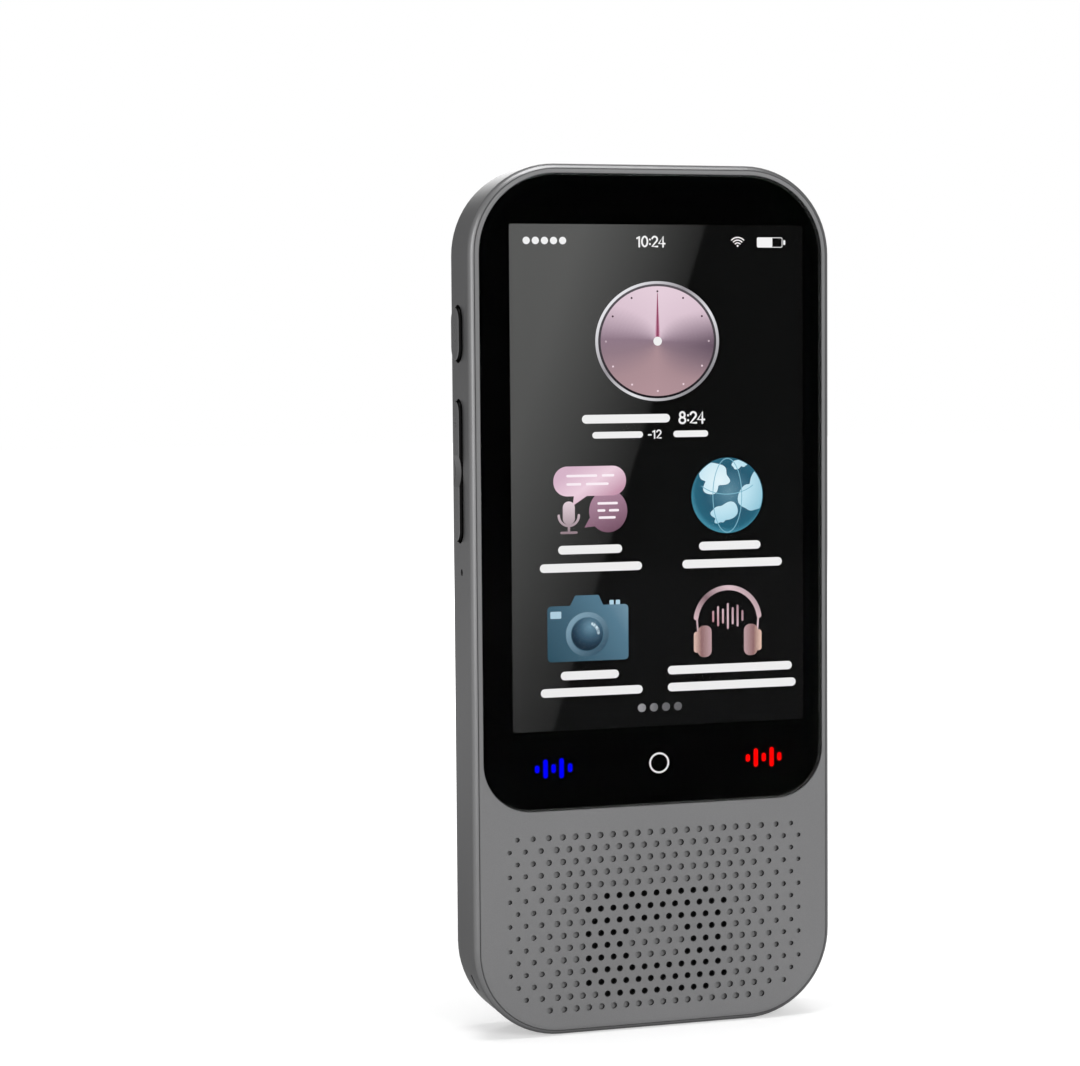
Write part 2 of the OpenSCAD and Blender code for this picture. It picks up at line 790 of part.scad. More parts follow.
// Room beside the upstand for the keys' flanges
module side_notch(zone) {
    translate([switch_x + plunger_h, zone[0] - 1]) square([body_w, zone[1] - zone[0] + 2]);
}

module upstand(zone, side) {
    top_y = key_y + switch_w / 2 + 0.8;
    on_side(side) block([upstand_x, chassis_back - eps / 2, zone[0]], [flex_x, top_y, zone[1]]);
}

// Pan-head screw along Y: its head behind y, its shank l long in front of it
module screw(y, l, x, z) {
    rod(head_r, y, y + head_h, x, z);
    rod(screw_r, y - l, y + head_h / 2, x, z);
}

module chassis_screws() {
    color([0.25, 0.25, 0.26]) for (s = [-1, 1], at = fixings)
        screw(chassis_back + lug_t, frame_screw_l, s * at[0], at[1]);
}

module board_screws() {
    color([0.7, 0.7, 0.7]) for (s = [-1, 1], at = concat(board_posts, sub_posts))
        screw(board_back, board_screw_l, s * at[0], at[1]);
}

// ---- camera, turned about its own axis ----

module at_camera() {
    translate([-camera_x, 0, camera_z]) rotate([-90, 0, 0]) children();
}

module camera_ring() {
    bezel = 0.35;
    color([0.08, 0.08, 0.09]) at_camera() rotate_extrude() polygon([
        [ledge_r, ring_front], [ring_flange_r, ring_front], [ring_flange_r, cover_in],
        [ring_r, cover_in], [ring_r, back_y - 0.08], [ring_r - 0.08, back_y],
        [ring_r - bezel, back_y], [ring_bore_r + 0.15, back_y - dish_depth],
        [ring_bore_r, back_y - dish_depth], [ring_bore_r, window_y - window_t],
        [ledge_r, window_y - window_t]]);
}

module camera_window() {
    color([0.05, 0.05, 0.08]) at_camera() translate([0, 0, window_y - window_t])
        cylinder(r = ring_bore_r - 0.05, h = window_t);
}

module camera_barrel() {
    wall = 0.3;
    color([0.05, 0.05, 0.05]) at_camera() rotate_extrude() polygon([
        [0, module_back], [barrel_r, module_back], [barrel_r, barrel_back],
        [barrel_r - wall, barrel_back], [lens_r, barrel_back - 0.25], [lens_r, module_back + 0.4],
        [0, module_back + 0.4]]);
}

module camera_lens() {
    crown = 0.25;
    dome_r = (lens_r * lens_r + crown * crown) / (2 * crown);
    rim_y = barrel_back - 0.3 - crown;
    color([0.1, 0.1, 0.35]) at_camera() intersection() {
        translate([0, 0, rim_y + crown - dome_r]) sphere(r = dome_r);
        translate([0, 0, module_back + 0.4]) cylinder(r = lens_r - 0.02, h = 3);
    }
}

module camera_module() {
    color([0.12, 0.12, 0.13]) block([-camera_x - module_w / 2, board_back, camera_z - module_w / 2],
        [-camera_x + module_w / 2, module_back, camera_z + module_w / 2]);
}

module camera_foam() {
    color([0.15, 0.15, 0.15]) at_camera() translate([0, 0, module_back]) difference() {
        cylinder(r = 3.8, h = ring_front - module_back);
        translate([0, 0, -eps]) cylinder(r = barrel_r + 0.15, h = 3);
    }
}

// ---- side keys ----

// Key with its flange, and a nub over each of its switches
module key(l, w, z) {
    flange_x = inner_x - flange_gap - flange_t;
    union() {
        translate([flange_x, key_y, z]) rotate([0, 90, 0])
            rounded_pill(l, w, body_w / 2 + key_proud - flange_x, key_round);
        side_pill(l + 2 * flange_rim, w + 2 * flange_rim, flange_x, flange_x + flange_t, z);
        translate([nub_x, key_y, z]) rotate([0, 90, 0])
            cylinder(r = nub_r, h = flange_x - nub_x + flange_t / 2);
    }
}

module power_button() {
    color([0.47, 0.47, 0.48]) mirror([1, 0, 0]) key(short_key_l, broad_key_w, power_z);
}

module photo_button() {
    color([0.32, 0.32, 0.33]) key(short_key_l, broad_key_w, photo_z);
}

module blue_talk_button() {
    color([0.05, 0.08, 0.75]) key(talk_key_l, slim_key_w, blue_z);
}

module red_talk_button() {
    color([0.8, 0.08, 0.06]) key(talk_key_l, slim_key_w, red_z);
}

// Long key that rocks on a rod behind its middle
module volume_rocker() {
    nub_gap = rocker_reach * sin(volume_turn) + 0.1;
    cap_x = body_w / 2 + key_proud;
    color([0.47, 0.47, 0.48]) mirror([1, 0, 0]) union() {
        difference() {
            translate([rocker_flange_x, key_y, volume_z]) rotate([0, 90, 0])
                rounded_pill(volume_key_l, slim_key_w, cap_x - rocker_flange_x, key_round);
            rod(dip_r, key_y - slim_key_w, key_y + slim_key_w, cap_x + dip_r - dip_depth, volume_z);
        }
        side_pill(volume_key_l + 2 * flange_rim, slim_key_w + 2 * flange_rim,
            rocker_flange_x, rocker_flange_x + flange_t, volume_z);
        rod(pivot_r, key_y - slim_key_w / 2, key_y + slim_key_w / 2, pivot_x, volume_z);
        for (s = [-1, 1]) translate([plunger_x + nub_gap, key_y, volume_z + s * rocker_reach])
            rotate([0, 90, 0]) cylinder(r = nub_r, h = rocker_flange_x + eps / 2 - plunger_x - nub_gap);
    }
}

module key_board(zone) {
    block([flex_x, chassis_back + 0.1, zone[0] + 0.5],
        [flex_x + flex_t, key_y + switch_w / 2 + 0.5, zone[1] - 0.5]);
}

module left_key_board() {
    color([0.75, 0.5, 0.15]) mirror([1, 0, 0]) key_board(left_zone);
}

module right_key_board() {
    color([0.75, 0.5, 0.15]) key_board(right_zone);
}

module key_switch(z) {
    block([switch_x, key_y - switch_w / 2, z - switch_l / 2],
        [switch_x + switch_h, key_y + switch_w / 2, z + switch_l / 2]);
    translate([switch_x + switch_h / 2, key_y, z]) rotate([0, 90, 0])
        cylinder(r = 0.75, h = switch_h / 2 + plunger_h);
}

// The left side also has the seat of the volume key's rod
module left_key_switches() {
    color([0.8, 0.8, 0.78]) mirror([1, 0, 0]) {
        key_switch(power_z);
        for (s = [-1, 1]) key_switch(volume_z + s * rocker_reach);
        block([switch_x, key_y - switch_w / 2, volume_z - 1],
            [pivot_x - pivot_r - 0.05, key_y + switch_w / 2, volume_z + 1]);
    }
}

module right_key_switches() {
    color([0.8, 0.8, 0.78]) for (z = [photo_z, blue_z, red_z]) key_switch(z);
}

// ---- microphones ----

module side_mic(z, side) {
    on_side(side) block([switch_x, mic_y - mic_w / 2, z - mic_l / 2],
        [boot_x, mic_y + mic_w / 2, z + mic_l / 2]);
}

module side_boot(z, side) {
    on_side(side) translate([boot_x, mic_y, z]) rotate([0, 90, 0]) difference() {
        cylinder(r = boot_r, h = inner_x - boot_x);
        translate([0, 0, -eps]) cylinder(r = boot_bore_r, h = key_room + 2 * eps);
    }
}

module microphones() {
    color([0.75, 0.7, 0.5]) {
        side_mic(left_mic_z, -1);
        side_mic(right_mic_z, 1);
        lower_corner() at_corner(slit_angle)
            block([corner_boot_r - mic_t, chassis_back, -mic_l / 2],
                [corner_boot_r, chassis_back + mic_w + 0.5, mic_l / 2]);
    }
}

module mic_boots() {
    color([0.12, 0.12, 0.12]) {
        side_boot(left_mic_z, -1);
        side_boot(right_mic_z, 1);
        lower_corner() at_corner(slit_angle) difference() {
            block([corner_boot_r, chassis_back, -2.2],
                [corner_boot_r + corner_boot_t, chassis_back + 3.9, 2.2]);
            translate([corner_boot_r - eps, 0, 0]) rotate([0, 90, 0])
                cylinder(r = boot_bore_r, h = corner_boot_t + 2 * eps);
        }
    }
}

// ---- boards, battery and USB-C ----

module post_holes(posts) {
    for (s = [-1, 1], at = posts) rod(pass_r, board_y - eps, board_back + eps, s * at[0], at[1]);
}

module main_board() {
    color([0.05, 0.3, 0.15]) difference() {
        plate(board_y, board_back) difference() {
            union() {
                rounded(2 * board_half, board_low, board_top, board_r, 1);
                translate([-tab_half, board_top - 1]) square([2 * tab_half, tab_top - board_top + 1]);
            }
            translate([-usb_w / 2 - usb_gap, usb_base - usb_gap]) square([usb_w + 2 * usb_gap, usb_l]);
        }
        post_holes(board_posts);
    }
}

module lower_board() {
    color([0.05, 0.3, 0.15]) difference() {
        plate(board_y, board_back) rounded(2 * sub_half, sub_low, sub_top, 1, 1);
        post_holes(sub_posts);
    }
}

// Block on the board, from x0 to x1 and in a can's place, drawn in by an inset
module on_board(x0, x1, inset, y0, y1) {
    block([x0 + inset, y0, can_z0 + inset], [x1 - inset, y1, can_z1 - inset]);
}

module shield_cans() {
    t = 0.2;
    color([0.75, 0.75, 0.76]) for (can = cans) difference() {
        on_board(can[0], can[1], 0, board_back, board_back + can_h);
        on_board(can[0], can[1], t, board_back - eps, board_back + can_h - t);
    }
}

// Chips under the cans
module board_chips() {
    edge = 0.12 * (can_z1 - can_z0);
    color([0.06, 0.06, 0.07]) for (chip = chips)
        on_board(chip[0], chip[1], edge, board_back, board_back + can_h - 0.5);
}

module battery() {
    color([0.7, 0.71, 0.72]) plate(chassis_back + adhesive_t, battery_back)
        rounded(2 * battery_half, battery_z0, battery_z1, 2, 2);
}

module battery_tape() {
    inset = 4;
    color([0.9, 0.9, 0.9]) plate(chassis_back, chassis_back + adhesive_t)
        rounded(2 * (battery_half - inset), battery_z0 + inset, battery_z1 - inset, 1, 1);
}

// Lead from the battery's upper end to its plug on the board
module battery_lead() {
    plug_w = 6;
    plug_h = 1.3;
    plug_z0 = board_low + 0.4;
    plug_z1 = plug_z0 + 3;
    lead_w = 4;
    lead_y0 = board_back + 0.2;
    lead_y1 = lead_y0 + 0.7;
    color([0.6, 0.1, 0.1]) translate([lead_x, 0, 0]) {
        block([-plug_w / 2, board_back, plug_z0], [plug_w / 2, board_back + plug_h, plug_z1]);
        block([-lead_w / 2, lead_y0, battery_z1], [lead_w / 2, lead_y1, plug_z0]);
    }
}

// Ribbon that joins the two boards behind the battery
module board_ribbon() {
    t = ribbon_t;
    y0 = board_back;
    y1 = battery_back + 0.1;
    z0 = sub_top - 3;
    z1 = battery_z0 - 0.6;
    z2 = battery_z1 + 0.6;
    z3 = board_low + 3;
    color([0.75, 0.5, 0.15]) ribbon([[y0, z0], [y0, z1], [y1, z1], [y1, z2], [y0, z2], [y0, z3],
        [y0 + t, z3], [y0 + t, z2 + t], [y1 + t, z2 + t], [y1 + t, z1 - t], [y0 + t, z1 - t],
        [y0 + t, z0]], ribbon_w, -3 * ribbon_w / 2);
}

module usb_shell() {
    color([0.75, 0.75, 0.77]) translate([0, 0, usb_base]) linear_extrude(usb_l) difference() {
        pill(usb_w, usb_h);
        pill(usb_w - 2 * usb_wall, usb_h - 2 * usb_wall);
    }
}

module usb_core() {
    tongue_w = 6.7;
    tongue_t = 0.7;
    base_l = 2.4;
    tongue_l = usb_l - 0.8;
    color([0.08, 0.08, 0.08]) translate([0, 0, usb_base]) {
        linear_extrude(base_l) pill(usb_w - 2 * usb_wall, usb_h - 2 * usb_wall);
        linear_extrude(tongue_l) square([tongue_w, tongue_t], center = true);
    }
}

// ---- speaker ----

module speaker_mesh() {
    color([0.1, 0.1, 0.1]) plate(seat_y, seat_y + mesh_t)
        speaker_outline(basket_half, basket_tall, basket_r);
}

module speaker_gasket() {
    color([0.12, 0.12, 0.12]) plate(seat_y + mesh_t, basket_y) difference() {
        speaker_outline(basket_half, basket_tall, basket_r);
        speaker_outline(basket_half - gasket_w, basket_tall - gasket_w, basket_r - gasket_w);
    }
}

// Open frame with ears that rest on the chassis round its opening
module speaker_basket() {
    color([0.2, 0.2, 0.21]) difference() {
        union() {
            plate(basket_y, basket_back) speaker_outline(basket_half, basket_tall, basket_r);
            plate(basket_y, chassis_y) speaker_outline(basket_half + ear, basket_tall + ear, basket_r);
        }
        plate(basket_y - eps, basket_back - basket_t)
            speaker_outline(basket_half - basket_t, basket_tall - basket_t, basket_r - basket_t);
        plate(basket_back - 2 * basket_t, basket_back + eps)
            speaker_outline(magnet_half, magnet_tall, 1);
    }
}

// Diaphragm with its raised middle and the coil former behind it
module speaker_cone() {
    cone_t = 0.25;
    cone_y = basket_y + 0.5;
    former = 1.2;
    former_t = 0.3;
    half = basket_half - basket_t;
    tall = basket_tall - basket_t;
    dome_half = magnet_half / 2;
    dome_tall = magnet_tall / 2;
    color([0.07, 0.07, 0.07]) {
        plate(cone_y, cone_y + cone_t) speaker_outline(half, tall, basket_r - basket_t);
        plate(cone_y - 0.3, cone_y) speaker_outline(dome_half, dome_tall, 1);
        plate(cone_y + cone_t, cone_y + cone_t + former) difference() {
            speaker_outline(dome_half + former_t, dome_tall + former_t, 1);
            speaker_outline(dome_half, dome_tall, 1 - former_t);
        }
    }
}

module speaker_magnet() {
    fit = 0.05;
    color([0.6, 0.6, 0.62]) plate(basket_back - 1.6, basket_back + 0.3)
        speaker_outline(magnet_half - fit, magnet_tall - fit, 1);
}

// Closed chamber behind the speaker, glued to the chassis, and its outline
module chamber_outline(inset) {
    r = 3 - inset;
    rounded(2 * (chamber_half - inset), chamber_z0 + inset, chamber_z1 - inset, r, r);
}

module speaker_chamber() {
    color([0.14, 0.14, 0.15]) difference() {
        plate(chassis_back, chassis_back + chamber_d) chamber_outline(0);
        plate(chassis_back - eps, chassis_back + chamber_d - chamber_wall) chamber_outline(chamber_wall);
    }
}

side_frame();
front_fascia();
cover_glass();
border_print();
glass_tape();
touch_sensor();
display_panel();
display_backlight();
display_flex();
chassis();
chassis_screws();
back_cover();
camera_ring();
camera_window();
camera_lens();
camera_barrel();
camera_module();
camera_foam();
power_button();
volume_rocker();
photo_button();
blue_talk_button();
red_talk_button();
left_key_board();
right_key_board();
left_key_switches();
right_key_switches();
microphones();
mic_boots();
main_board();
board_screws();
shield_cans();
board_chips();
lower_board();
board_ribbon();
battery();
battery_tape();
battery_lead();
usb_shell();
usb_core();
speaker_mesh();
speaker_gasket();
speaker_basket();
speaker_cone();
speaker_magnet();
speaker_chamber();
lanyard_pin();
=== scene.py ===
import math

import bpy
import numpy as np
from mathutils import Matrix


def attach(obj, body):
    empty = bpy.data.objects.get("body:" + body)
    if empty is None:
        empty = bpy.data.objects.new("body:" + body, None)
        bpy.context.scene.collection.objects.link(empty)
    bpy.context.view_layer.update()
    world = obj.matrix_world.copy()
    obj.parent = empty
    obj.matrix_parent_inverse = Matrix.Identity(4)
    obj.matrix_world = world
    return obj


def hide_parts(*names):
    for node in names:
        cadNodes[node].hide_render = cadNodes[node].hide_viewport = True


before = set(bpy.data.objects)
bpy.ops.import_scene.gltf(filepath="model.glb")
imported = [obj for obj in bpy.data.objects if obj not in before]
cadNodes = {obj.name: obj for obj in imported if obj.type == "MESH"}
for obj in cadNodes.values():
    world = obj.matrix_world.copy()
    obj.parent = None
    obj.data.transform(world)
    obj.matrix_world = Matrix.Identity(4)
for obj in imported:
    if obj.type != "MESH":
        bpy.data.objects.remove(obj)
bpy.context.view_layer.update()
mm = 0.001
print("frame loaded,", len(cadNodes), "nodes")


cameraLook = {
    "lens": 88.77,  # on a 36 mm sensor
    "spot": (-147.86, -428.19, 114.17),  # mm
    "turn": 16.83, "dip": 3.794, "roll": -0.448,  # degrees
}


def added(name, data):
    made = bpy.data.objects.new(name, data)
    bpy.context.scene.collection.objects.link(made)
    return made


def turnedTo(made, sides, spot):
    # sides are the object's own right, top and back
    turned = np.eye(4)
    turned[:3, :3], turned[:3, 3] = np.column_stack(sides), spot
    made.matrix_world = Matrix(turned.tolist())


def aimCamera(look):
    # right = level line across the view rolled a little, ahead = level line turned and dipped
    turn, dip, roll = (math.radians(look[key]) for key in ("turn", "dip", "roll"))
    ahead = np.array([math.sin(turn) * math.cos(dip), math.cos(turn) * math.cos(dip), -math.sin(dip)])
    level = np.array([math.cos(turn), -math.sin(turn), 0.0])
    upward = np.cross(level, ahead)
    right = level * math.cos(roll) + upward * math.sin(roll)
    top = upward * math.cos(roll) - level * math.sin(roll)
    data = bpy.data.cameras.new("viewer")
    data.sensor_width, data.lens = 36.0, look["lens"]
    data.clip_start, data.clip_end = 0.01, 50.0
    made = added("viewer", data)
    turnedTo(made, (right, top, -ahead), np.array(look["spot"]) * mm)
    bpy.context.scene.camera = made


aimCamera(cameraLook)


def srgb(red, green, blue):
    # a colour as a screen shows it, 0 to 255, made linear
    parts = [channel / 255 for channel in (red, green, blue)]
    return tuple(part / 12.92 if part <= 0.04045 else ((part + 0.055) / 1.055) ** 2.4 for part in parts)


def tones(*rows):
    # the stops of a ramp from rows of place, red, green and blue; one colour gives two close stops
    if len(rows) == 1:
        return plain(srgb(*rows[0]))
    return [(place, srgb(*colour)) for place, *colour in rows]


def shade(colour, amount):
    return tuple(min(1.0, channel * amount) for channel in colour)


def plain(colour, lift=1.04):
    # two nearly equal stops for a mark of one colour
    return [(0.0, shade(colour, 1 / lift)), (1.0, shade(colour, lift))]


# shader tools


def sign(operation, swapped=False):
    # a method that adds one Math node, with the values swapped for a reflected sign
    return lambda *values: values[0].calc(operation, *(values[::-1] if swapped else values))


class Signal:
    # one output of a node; arithmetic on it adds Math nodes to its tree
    def __init__(self, tree, socket):
        self.tree, self.socket = tree, socket

    def calc(self, operation, *values, clamp=False):
        made = self.tree.nodes.new("ShaderNodeMath")
        made.operation, made.use_clamp = operation, clamp
        for place, value in enumerate(values):
            if isinstance(value, Signal):
                self.tree.links.new(value.socket, made.inputs[place])
            else:
                made.inputs[place].default_value = value
        return Signal(self.tree, made.outputs[0])

    __add__, __radd__ = sign("ADD"), sign("ADD", True)
    __sub__, __rsub__ = sign("SUBTRACT"), sign("SUBTRACT", True)
    __mul__, __rmul__ = sign("MULTIPLY"), sign("MULTIPLY", True)
    __truediv__, __pow__, __abs__ = sign("DIVIDE"), sign("POWER"), sign("ABSOLUTE")
    sine, root, most = sign("SINE"), sign("SQRT"), sign("MAXIMUM")
    bearing = sign("ARCTAN2")  # the angle of a point this far up and that far along

    def wave(self, pitch):
        # a sine that comes round once in each pitch
        return (self * (2 * math.pi / pitch)).sine()

    def fade(self, low, high):
        # 0 at low, 1 at high, straight between and held beyond
        return self.calc("MULTIPLY_ADD", self, 1 / (high - low), -low / (high - low), clamp=True)


class Finish:
    # a material on one Principled shader, with object coordinates in millimetres
    names = {
        "base": "Base Color", "rough": "Roughness", "metal": "Metallic", "normal": "Normal",
        "coat": "Coat Weight", "coatRough": "Coat Roughness", "clear": "Transmission Weight",
        "ior": "IOR", "glow": "Emission Color", "glowPower": "Emission Strength",
        "gloss": "Specular IOR Level", "tint": "Specular Tint", "sheen": "Sheen Weight",
    }

    def __init__(self, name, **values):
        self.material = bpy.data.materials.new(name)
        self.material.use_nodes = True
        self.tree = self.material.node_tree
        self.shader = self.tree.nodes["Principled BSDF"]
        metres = self.node("TexCoord", out="Object")
        self.spot = self.node("VectorMath", {"operation": "SCALE"}, {"Vector": metres, "Scale": 1000.0})
        parts = self.node("SeparateXYZ", {}, {"Vector": self.spot}).socket.node.outputs
        self.x, self.y, self.z = (Signal(self.tree, part) for part in parts)
        self.set(**values)

    def node(self, kind, settings=None, inputs=None, out=0):
        made = self.tree.nodes.new("ShaderNode" + kind)
        for key, value in (settings or {}).items():
            if key == "stops":
                stops = made.color_ramp.elements
                while len(stops) < len(value):
                    stops.new(1.0)
                for stop, (place, colour) in zip(stops, value):
                    stop.position, stop.color = place, (*colour, 1.0)
            else:
                setattr(made, key, value)
        for key, value in (inputs or {}).items():
            self.feed(made.inputs[key], value)
        return Signal(self.tree, made.outputs[out])

    def feed(self, socket, value):
        if isinstance(value, Signal):
            self.tree.links.new(value.socket, socket)
        elif isinstance(value, tuple) and socket.type == "RGBA":
            socket.default_value = (*value, 1.0)
        else:
            socket.default_value = value

    def set(self, **values):
        for key, value in values.items():
            self.feed(self.shader.inputs[self.names[key]], value)

    def mapped(self, size, stretch):
        # coordinates whose unit is one feature, size mm wide, longer by stretch along each axis
        scale = tuple(1 / (size * along) for along in stretch)
        return self.node("Mapping", {}, {"Vector": self.spot, "Scale": scale})

    def noise(self, size, detail=2.0, stretch=(1, 1, 1)):
        return self.node("TexNoise", {}, {"Vector": self.mapped(size, stretch), "Scale": 1.0, "Detail": detail})

    def cells(self, size, feature="F1"):
        inputs = {"Vector": self.mapped(size, (1, 1, 1)), "Scale": 1.0}
        return self.node("TexVoronoi", {"feature": feature}, inputs, out="Distance")

    def blend(self, first, second, part):
        return self.node("Mix", {"data_type": "RGBA"}, {0: part, 6: first, 7: second}, out=2)

    def toned(self, colour, low, high, part):
        # one colour, from low to high times its brightness
        return self.blend(shade(colour, low), shade(colour, high), part)

    def ramp(self, part, stops):
        return self.node("ValToRGB", {"stops": stops}, {"Fac": part})

    def bump(self, height, depth):
        return self.node("Bump", {}, {"Height": height, "Distance": depth * mm, "Strength": 1.0})

    def reach(self, x, z):
        # distance from a line along Y through x and z
        return ((self.x - x) * (self.x - x) + (self.z - z) * (self.z - z)).root()


pictureLook = {"middle": 90.0, "shift": (-0.25, 0.65), "grow": (1.0035, 0.9958)}


def laid(x, z):
    # from the screen picture's plan to its place on the panel: a small shift and stretch
    middle, (right, up), (wide, tall) = (pictureLook[key] for key in ("middle", "shift", "grow"))
    return x * wide + right, middle + (z - middle) * tall + up


def satinPaint(name, look):
    # fine metallic speckle over slow clouds, with a soft orange-peel bump
    made = Finish(name, metal=look["metal"], gloss=look["gloss"], tint=look["tint"])
    speck, cloud = made.noise(look["speck"], 3.0), made.noise(look["cloud"], 2.0)
    tone = (speck * 0.65 + cloud * 0.35).fade(0.3, 0.7)
    made.set(
        base=made.toned(look["colour"], 1 - look["spread"], 1 + look["spread"], tone),
        rough=look["rough"] + (speck - 0.5) * 0.12 + (cloud - 0.5) * 0.06,
        normal=made.bump(speck, look["depth"]),
    )
    return made


def grainedPlastic(name, colour, pit, rough, depth, gloss=0.4):
    # moulded grain: small cells for the height, slow noise for the tone
    made = Finish(name, gloss=gloss)
    grain, cloud = made.cells(pit, "SMOOTH_F1"), made.noise(pit * 30, 3.0)
    made.set(base=made.toned(colour, 0.8, 1.2, cloud.fade(0.35, 0.65)),
             rough=rough + (grain - 0.5) * 0.1, normal=made.bump(grain, depth))
    return made


def brushedMetal(name, colour, width, along, rough, depth):
    # long streaks along one axis in tone, roughness and height
    made = Finish(name, metal=1.0)
    streak, stain = made.noise(width, 4.0, along), made.noise(6.0, 2.0)
    made.set(base=made.toned(colour, 0.75, 1.2, streak.fade(0.3, 0.7)),
             rough=rough + (streak - 0.5) * 0.2 + (stain - 0.5) * 0.1, normal=made.bump(streak, depth))
    return made


def turnedMetal(name, look, centre):
    # tool marks round an axis, and a painted highlight in the base colour that turns twice round it, standing in for
    # the reflection on spun metal
    made = Finish(name, metal=1.0)
    mark = made.reach(*centre).wave(look["pitch"])
    bearing = (made.z - centre[1]).bearing(made.x - centre[0])
    # painted highlight: the light colour where the sine of twice the bearing peaks
    paintedFlare = ((bearing * 2 + look["offset"]).sine() * 0.5 + 0.5) ** 3.0
    grit = made.noise(0.05, 2.0)
    made.set(
        base=made.blend(look["dark"], look["light"], paintedFlare * 0.85 + mark * 0.04 + grit * 0.1),
        rough=look["rough"] + grit * 0.08,
        normal=made.bump(mark, look["depth"]),
    )
    return made


def clearGlass(name, tint, bend, smear):
    # clear body with a faint smear in the polish
    made = Finish(name, base=tint, clear=1.0, ior=bend)
    made.set(rough=made.noise(9.0, 3.0, (1, 1, 2)) * smear)
    return made


def litPiece(name):
    return Finish(name, base=(0.0, 0.0, 0.0), gloss=0.0, rough=0.6, glowPower=1.0)


def litLine(name, stops, start, end):
    # a lit picture piece: its colour runs along a line from start to end, both x and z in mm
    made = litPiece(name)
    start, end = laid(*start), laid(*end)
    across, up = end[0] - start[0], end[1] - start[1]
    length = across * across + up * up
    along = (made.x - start[0]) * (across / length) + (made.z - start[1]) * (up / length)
    dither = made.noise(0.25, 1.0)
    made.set(glow=made.ramp(along + (dither - 0.5) * 0.05, stops))
    return made


def litRound(name, stops, centre, radius):
    # the same, by distance from a centre
    made = litPiece(name)
    dither = made.noise(0.25, 1.0)
    made.set(glow=made.ramp(made.reach(*laid(*centre)) / radius + (dither - 0.5) * 0.05, stops))
    return made


# mesh tools


def volume(points, faces):
    # sum of the signed cones from the origin to each face
    total = 0.0
    for group in faces:
        for k in range(1, group.shape[1] - 1):
            first, second, third = (points[group[:, i]] for i in (0, k, k + 1))
            total += np.einsum("ij,ij->", first, np.cross(second, third))
    return total


def piece(name, parts, finish, body="body", smooth=None):
    # puts closed solids, each (points in mm, list of face arrays), into one mesh with faces outwards
    points, faces, count = [], [], 0
    for solid, groups in parts:
        if volume(solid - solid.mean(axis=0), groups) < 0:
            groups = [group[:, ::-1] for group in groups]
        for group in groups:
            faces.extend((group + count).tolist())
        points.append(solid)
        count += len(solid)
    mesh = bpy.data.meshes.new(name)
    mesh.from_pydata((np.vstack(points) * mm).tolist(), [], faces)
    if smooth is not None:
        mesh.polygons.foreach_set("use_smooth", np.ones(len(faces), dtype=bool))
        mesh.set_sharp_from_angle(angle=math.radians(smooth))
    mesh.materials.append(finish.material)
    mesh.update()
    made = added(name, mesh)
    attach(made, body)
    return made


def asDrawn(solid):
    return solid


def onFront(solid):
    x, z = laid(solid[:, 0], solid[:, 2])
    return np.column_stack([x, solid[:, 1], z])


def onLeft(level):
    # the piece's own right becomes -Y and its depth goes in from x = -level
    return lambda solid: np.column_stack([solid[:, 1] - level, -solid[:, 0], solid[:, 2]])


def onRight(level):
    return lambda solid: np.column_stack([level - solid[:, 1], solid[:, 0], solid[:, 2]])


def at(flat, depth):
    return np.column_stack([flat[:, 0], np.full(len(flat), depth), flat[:, 1]])


def slab(outline, front, back, hole=None, turn=onFront):
    # a plate with an outline, filled to its middle or to an inner outline of as many points
    n = len(outline)
    i = np.arange(n)
    j = np.roll(i, -1)
    inner = outline.mean(axis=0, keepdims=True) if hole is None else hole
    points = turn(np.vstack([at(outline, front), at(outline, back), at(inner, front), at(inner, back)]))
    walls = np.column_stack([j, i, i + n, j + n])
    if hole is None:
        fans = np.vstack([
            np.column_stack([i, j, np.full(n, 2 * n)]),
            np.column_stack([j + n, i + n, np.full(n, 2 * n + 1)]),
        ])
        return points, [walls, fans]
    a, b = i + 2 * n, j + 2 * n
    return points, [walls, np.vstack([
        np.column_stack([i, j, b, a]),
        np.column_stack([j + n, i + n, a + n, b + n]),
        np.column_stack([a, b, b + n, a + n]),
    ])]


def stroke(path, width, front, back, turn=onFront):
    # a flat band along a path, its half width set off along the path's normal, with round ends;
    # the width is one number, or one for each point of the path
    path = np.asarray(path, dtype=float)
    half = np.ones(len(path)) * width / 2
    ahead = np.gradient(path, axis=0)
    ahead /= np.linalg.norm(ahead, axis=1, keepdims=True)
    swing = np.radians([84.0, 60.0, 38.0, 18.0])
    first = path[0] - ahead[0] * (half[0] * np.sin(swing))[:, None]
    last = path[-1] + ahead[-1] * (half[-1] * np.sin(swing))[::-1, None]
    line = np.vstack([first, path, last])
    wide = np.concatenate([half[0] * np.cos(swing), half, (half[-1] * np.cos(swing))[::-1]])[:, None]
    ahead = np.vstack([np.repeat(ahead[:1], 4, 0), ahead, np.repeat(ahead[-1:], 4, 0)])
    across = np.column_stack([-ahead[:, 1], ahead[:, 0]]) * wide
    rings = np.stack([
        at(line + across, front), at(line - across, front), at(line - across, back), at(line + across, back),
    ], axis=1)
    count = len(line)
    i = (np.arange(count - 1)[:, None] * 4 + np.arange(4)).ravel()
    j = (np.arange(count - 1)[:, None] * 4 + np.roll(np.arange(4), -1)).ravel()
    sides = np.column_stack([i, j, j + 4, i + 4])
    ends = np.array([[3, 2, 1, 0], [4 * count - 4, 4 * count - 3, 4 * count - 2, 4 * count - 1]])
    return turn(rings.reshape(-1, 3)), [np.vstack([sides, ends])]


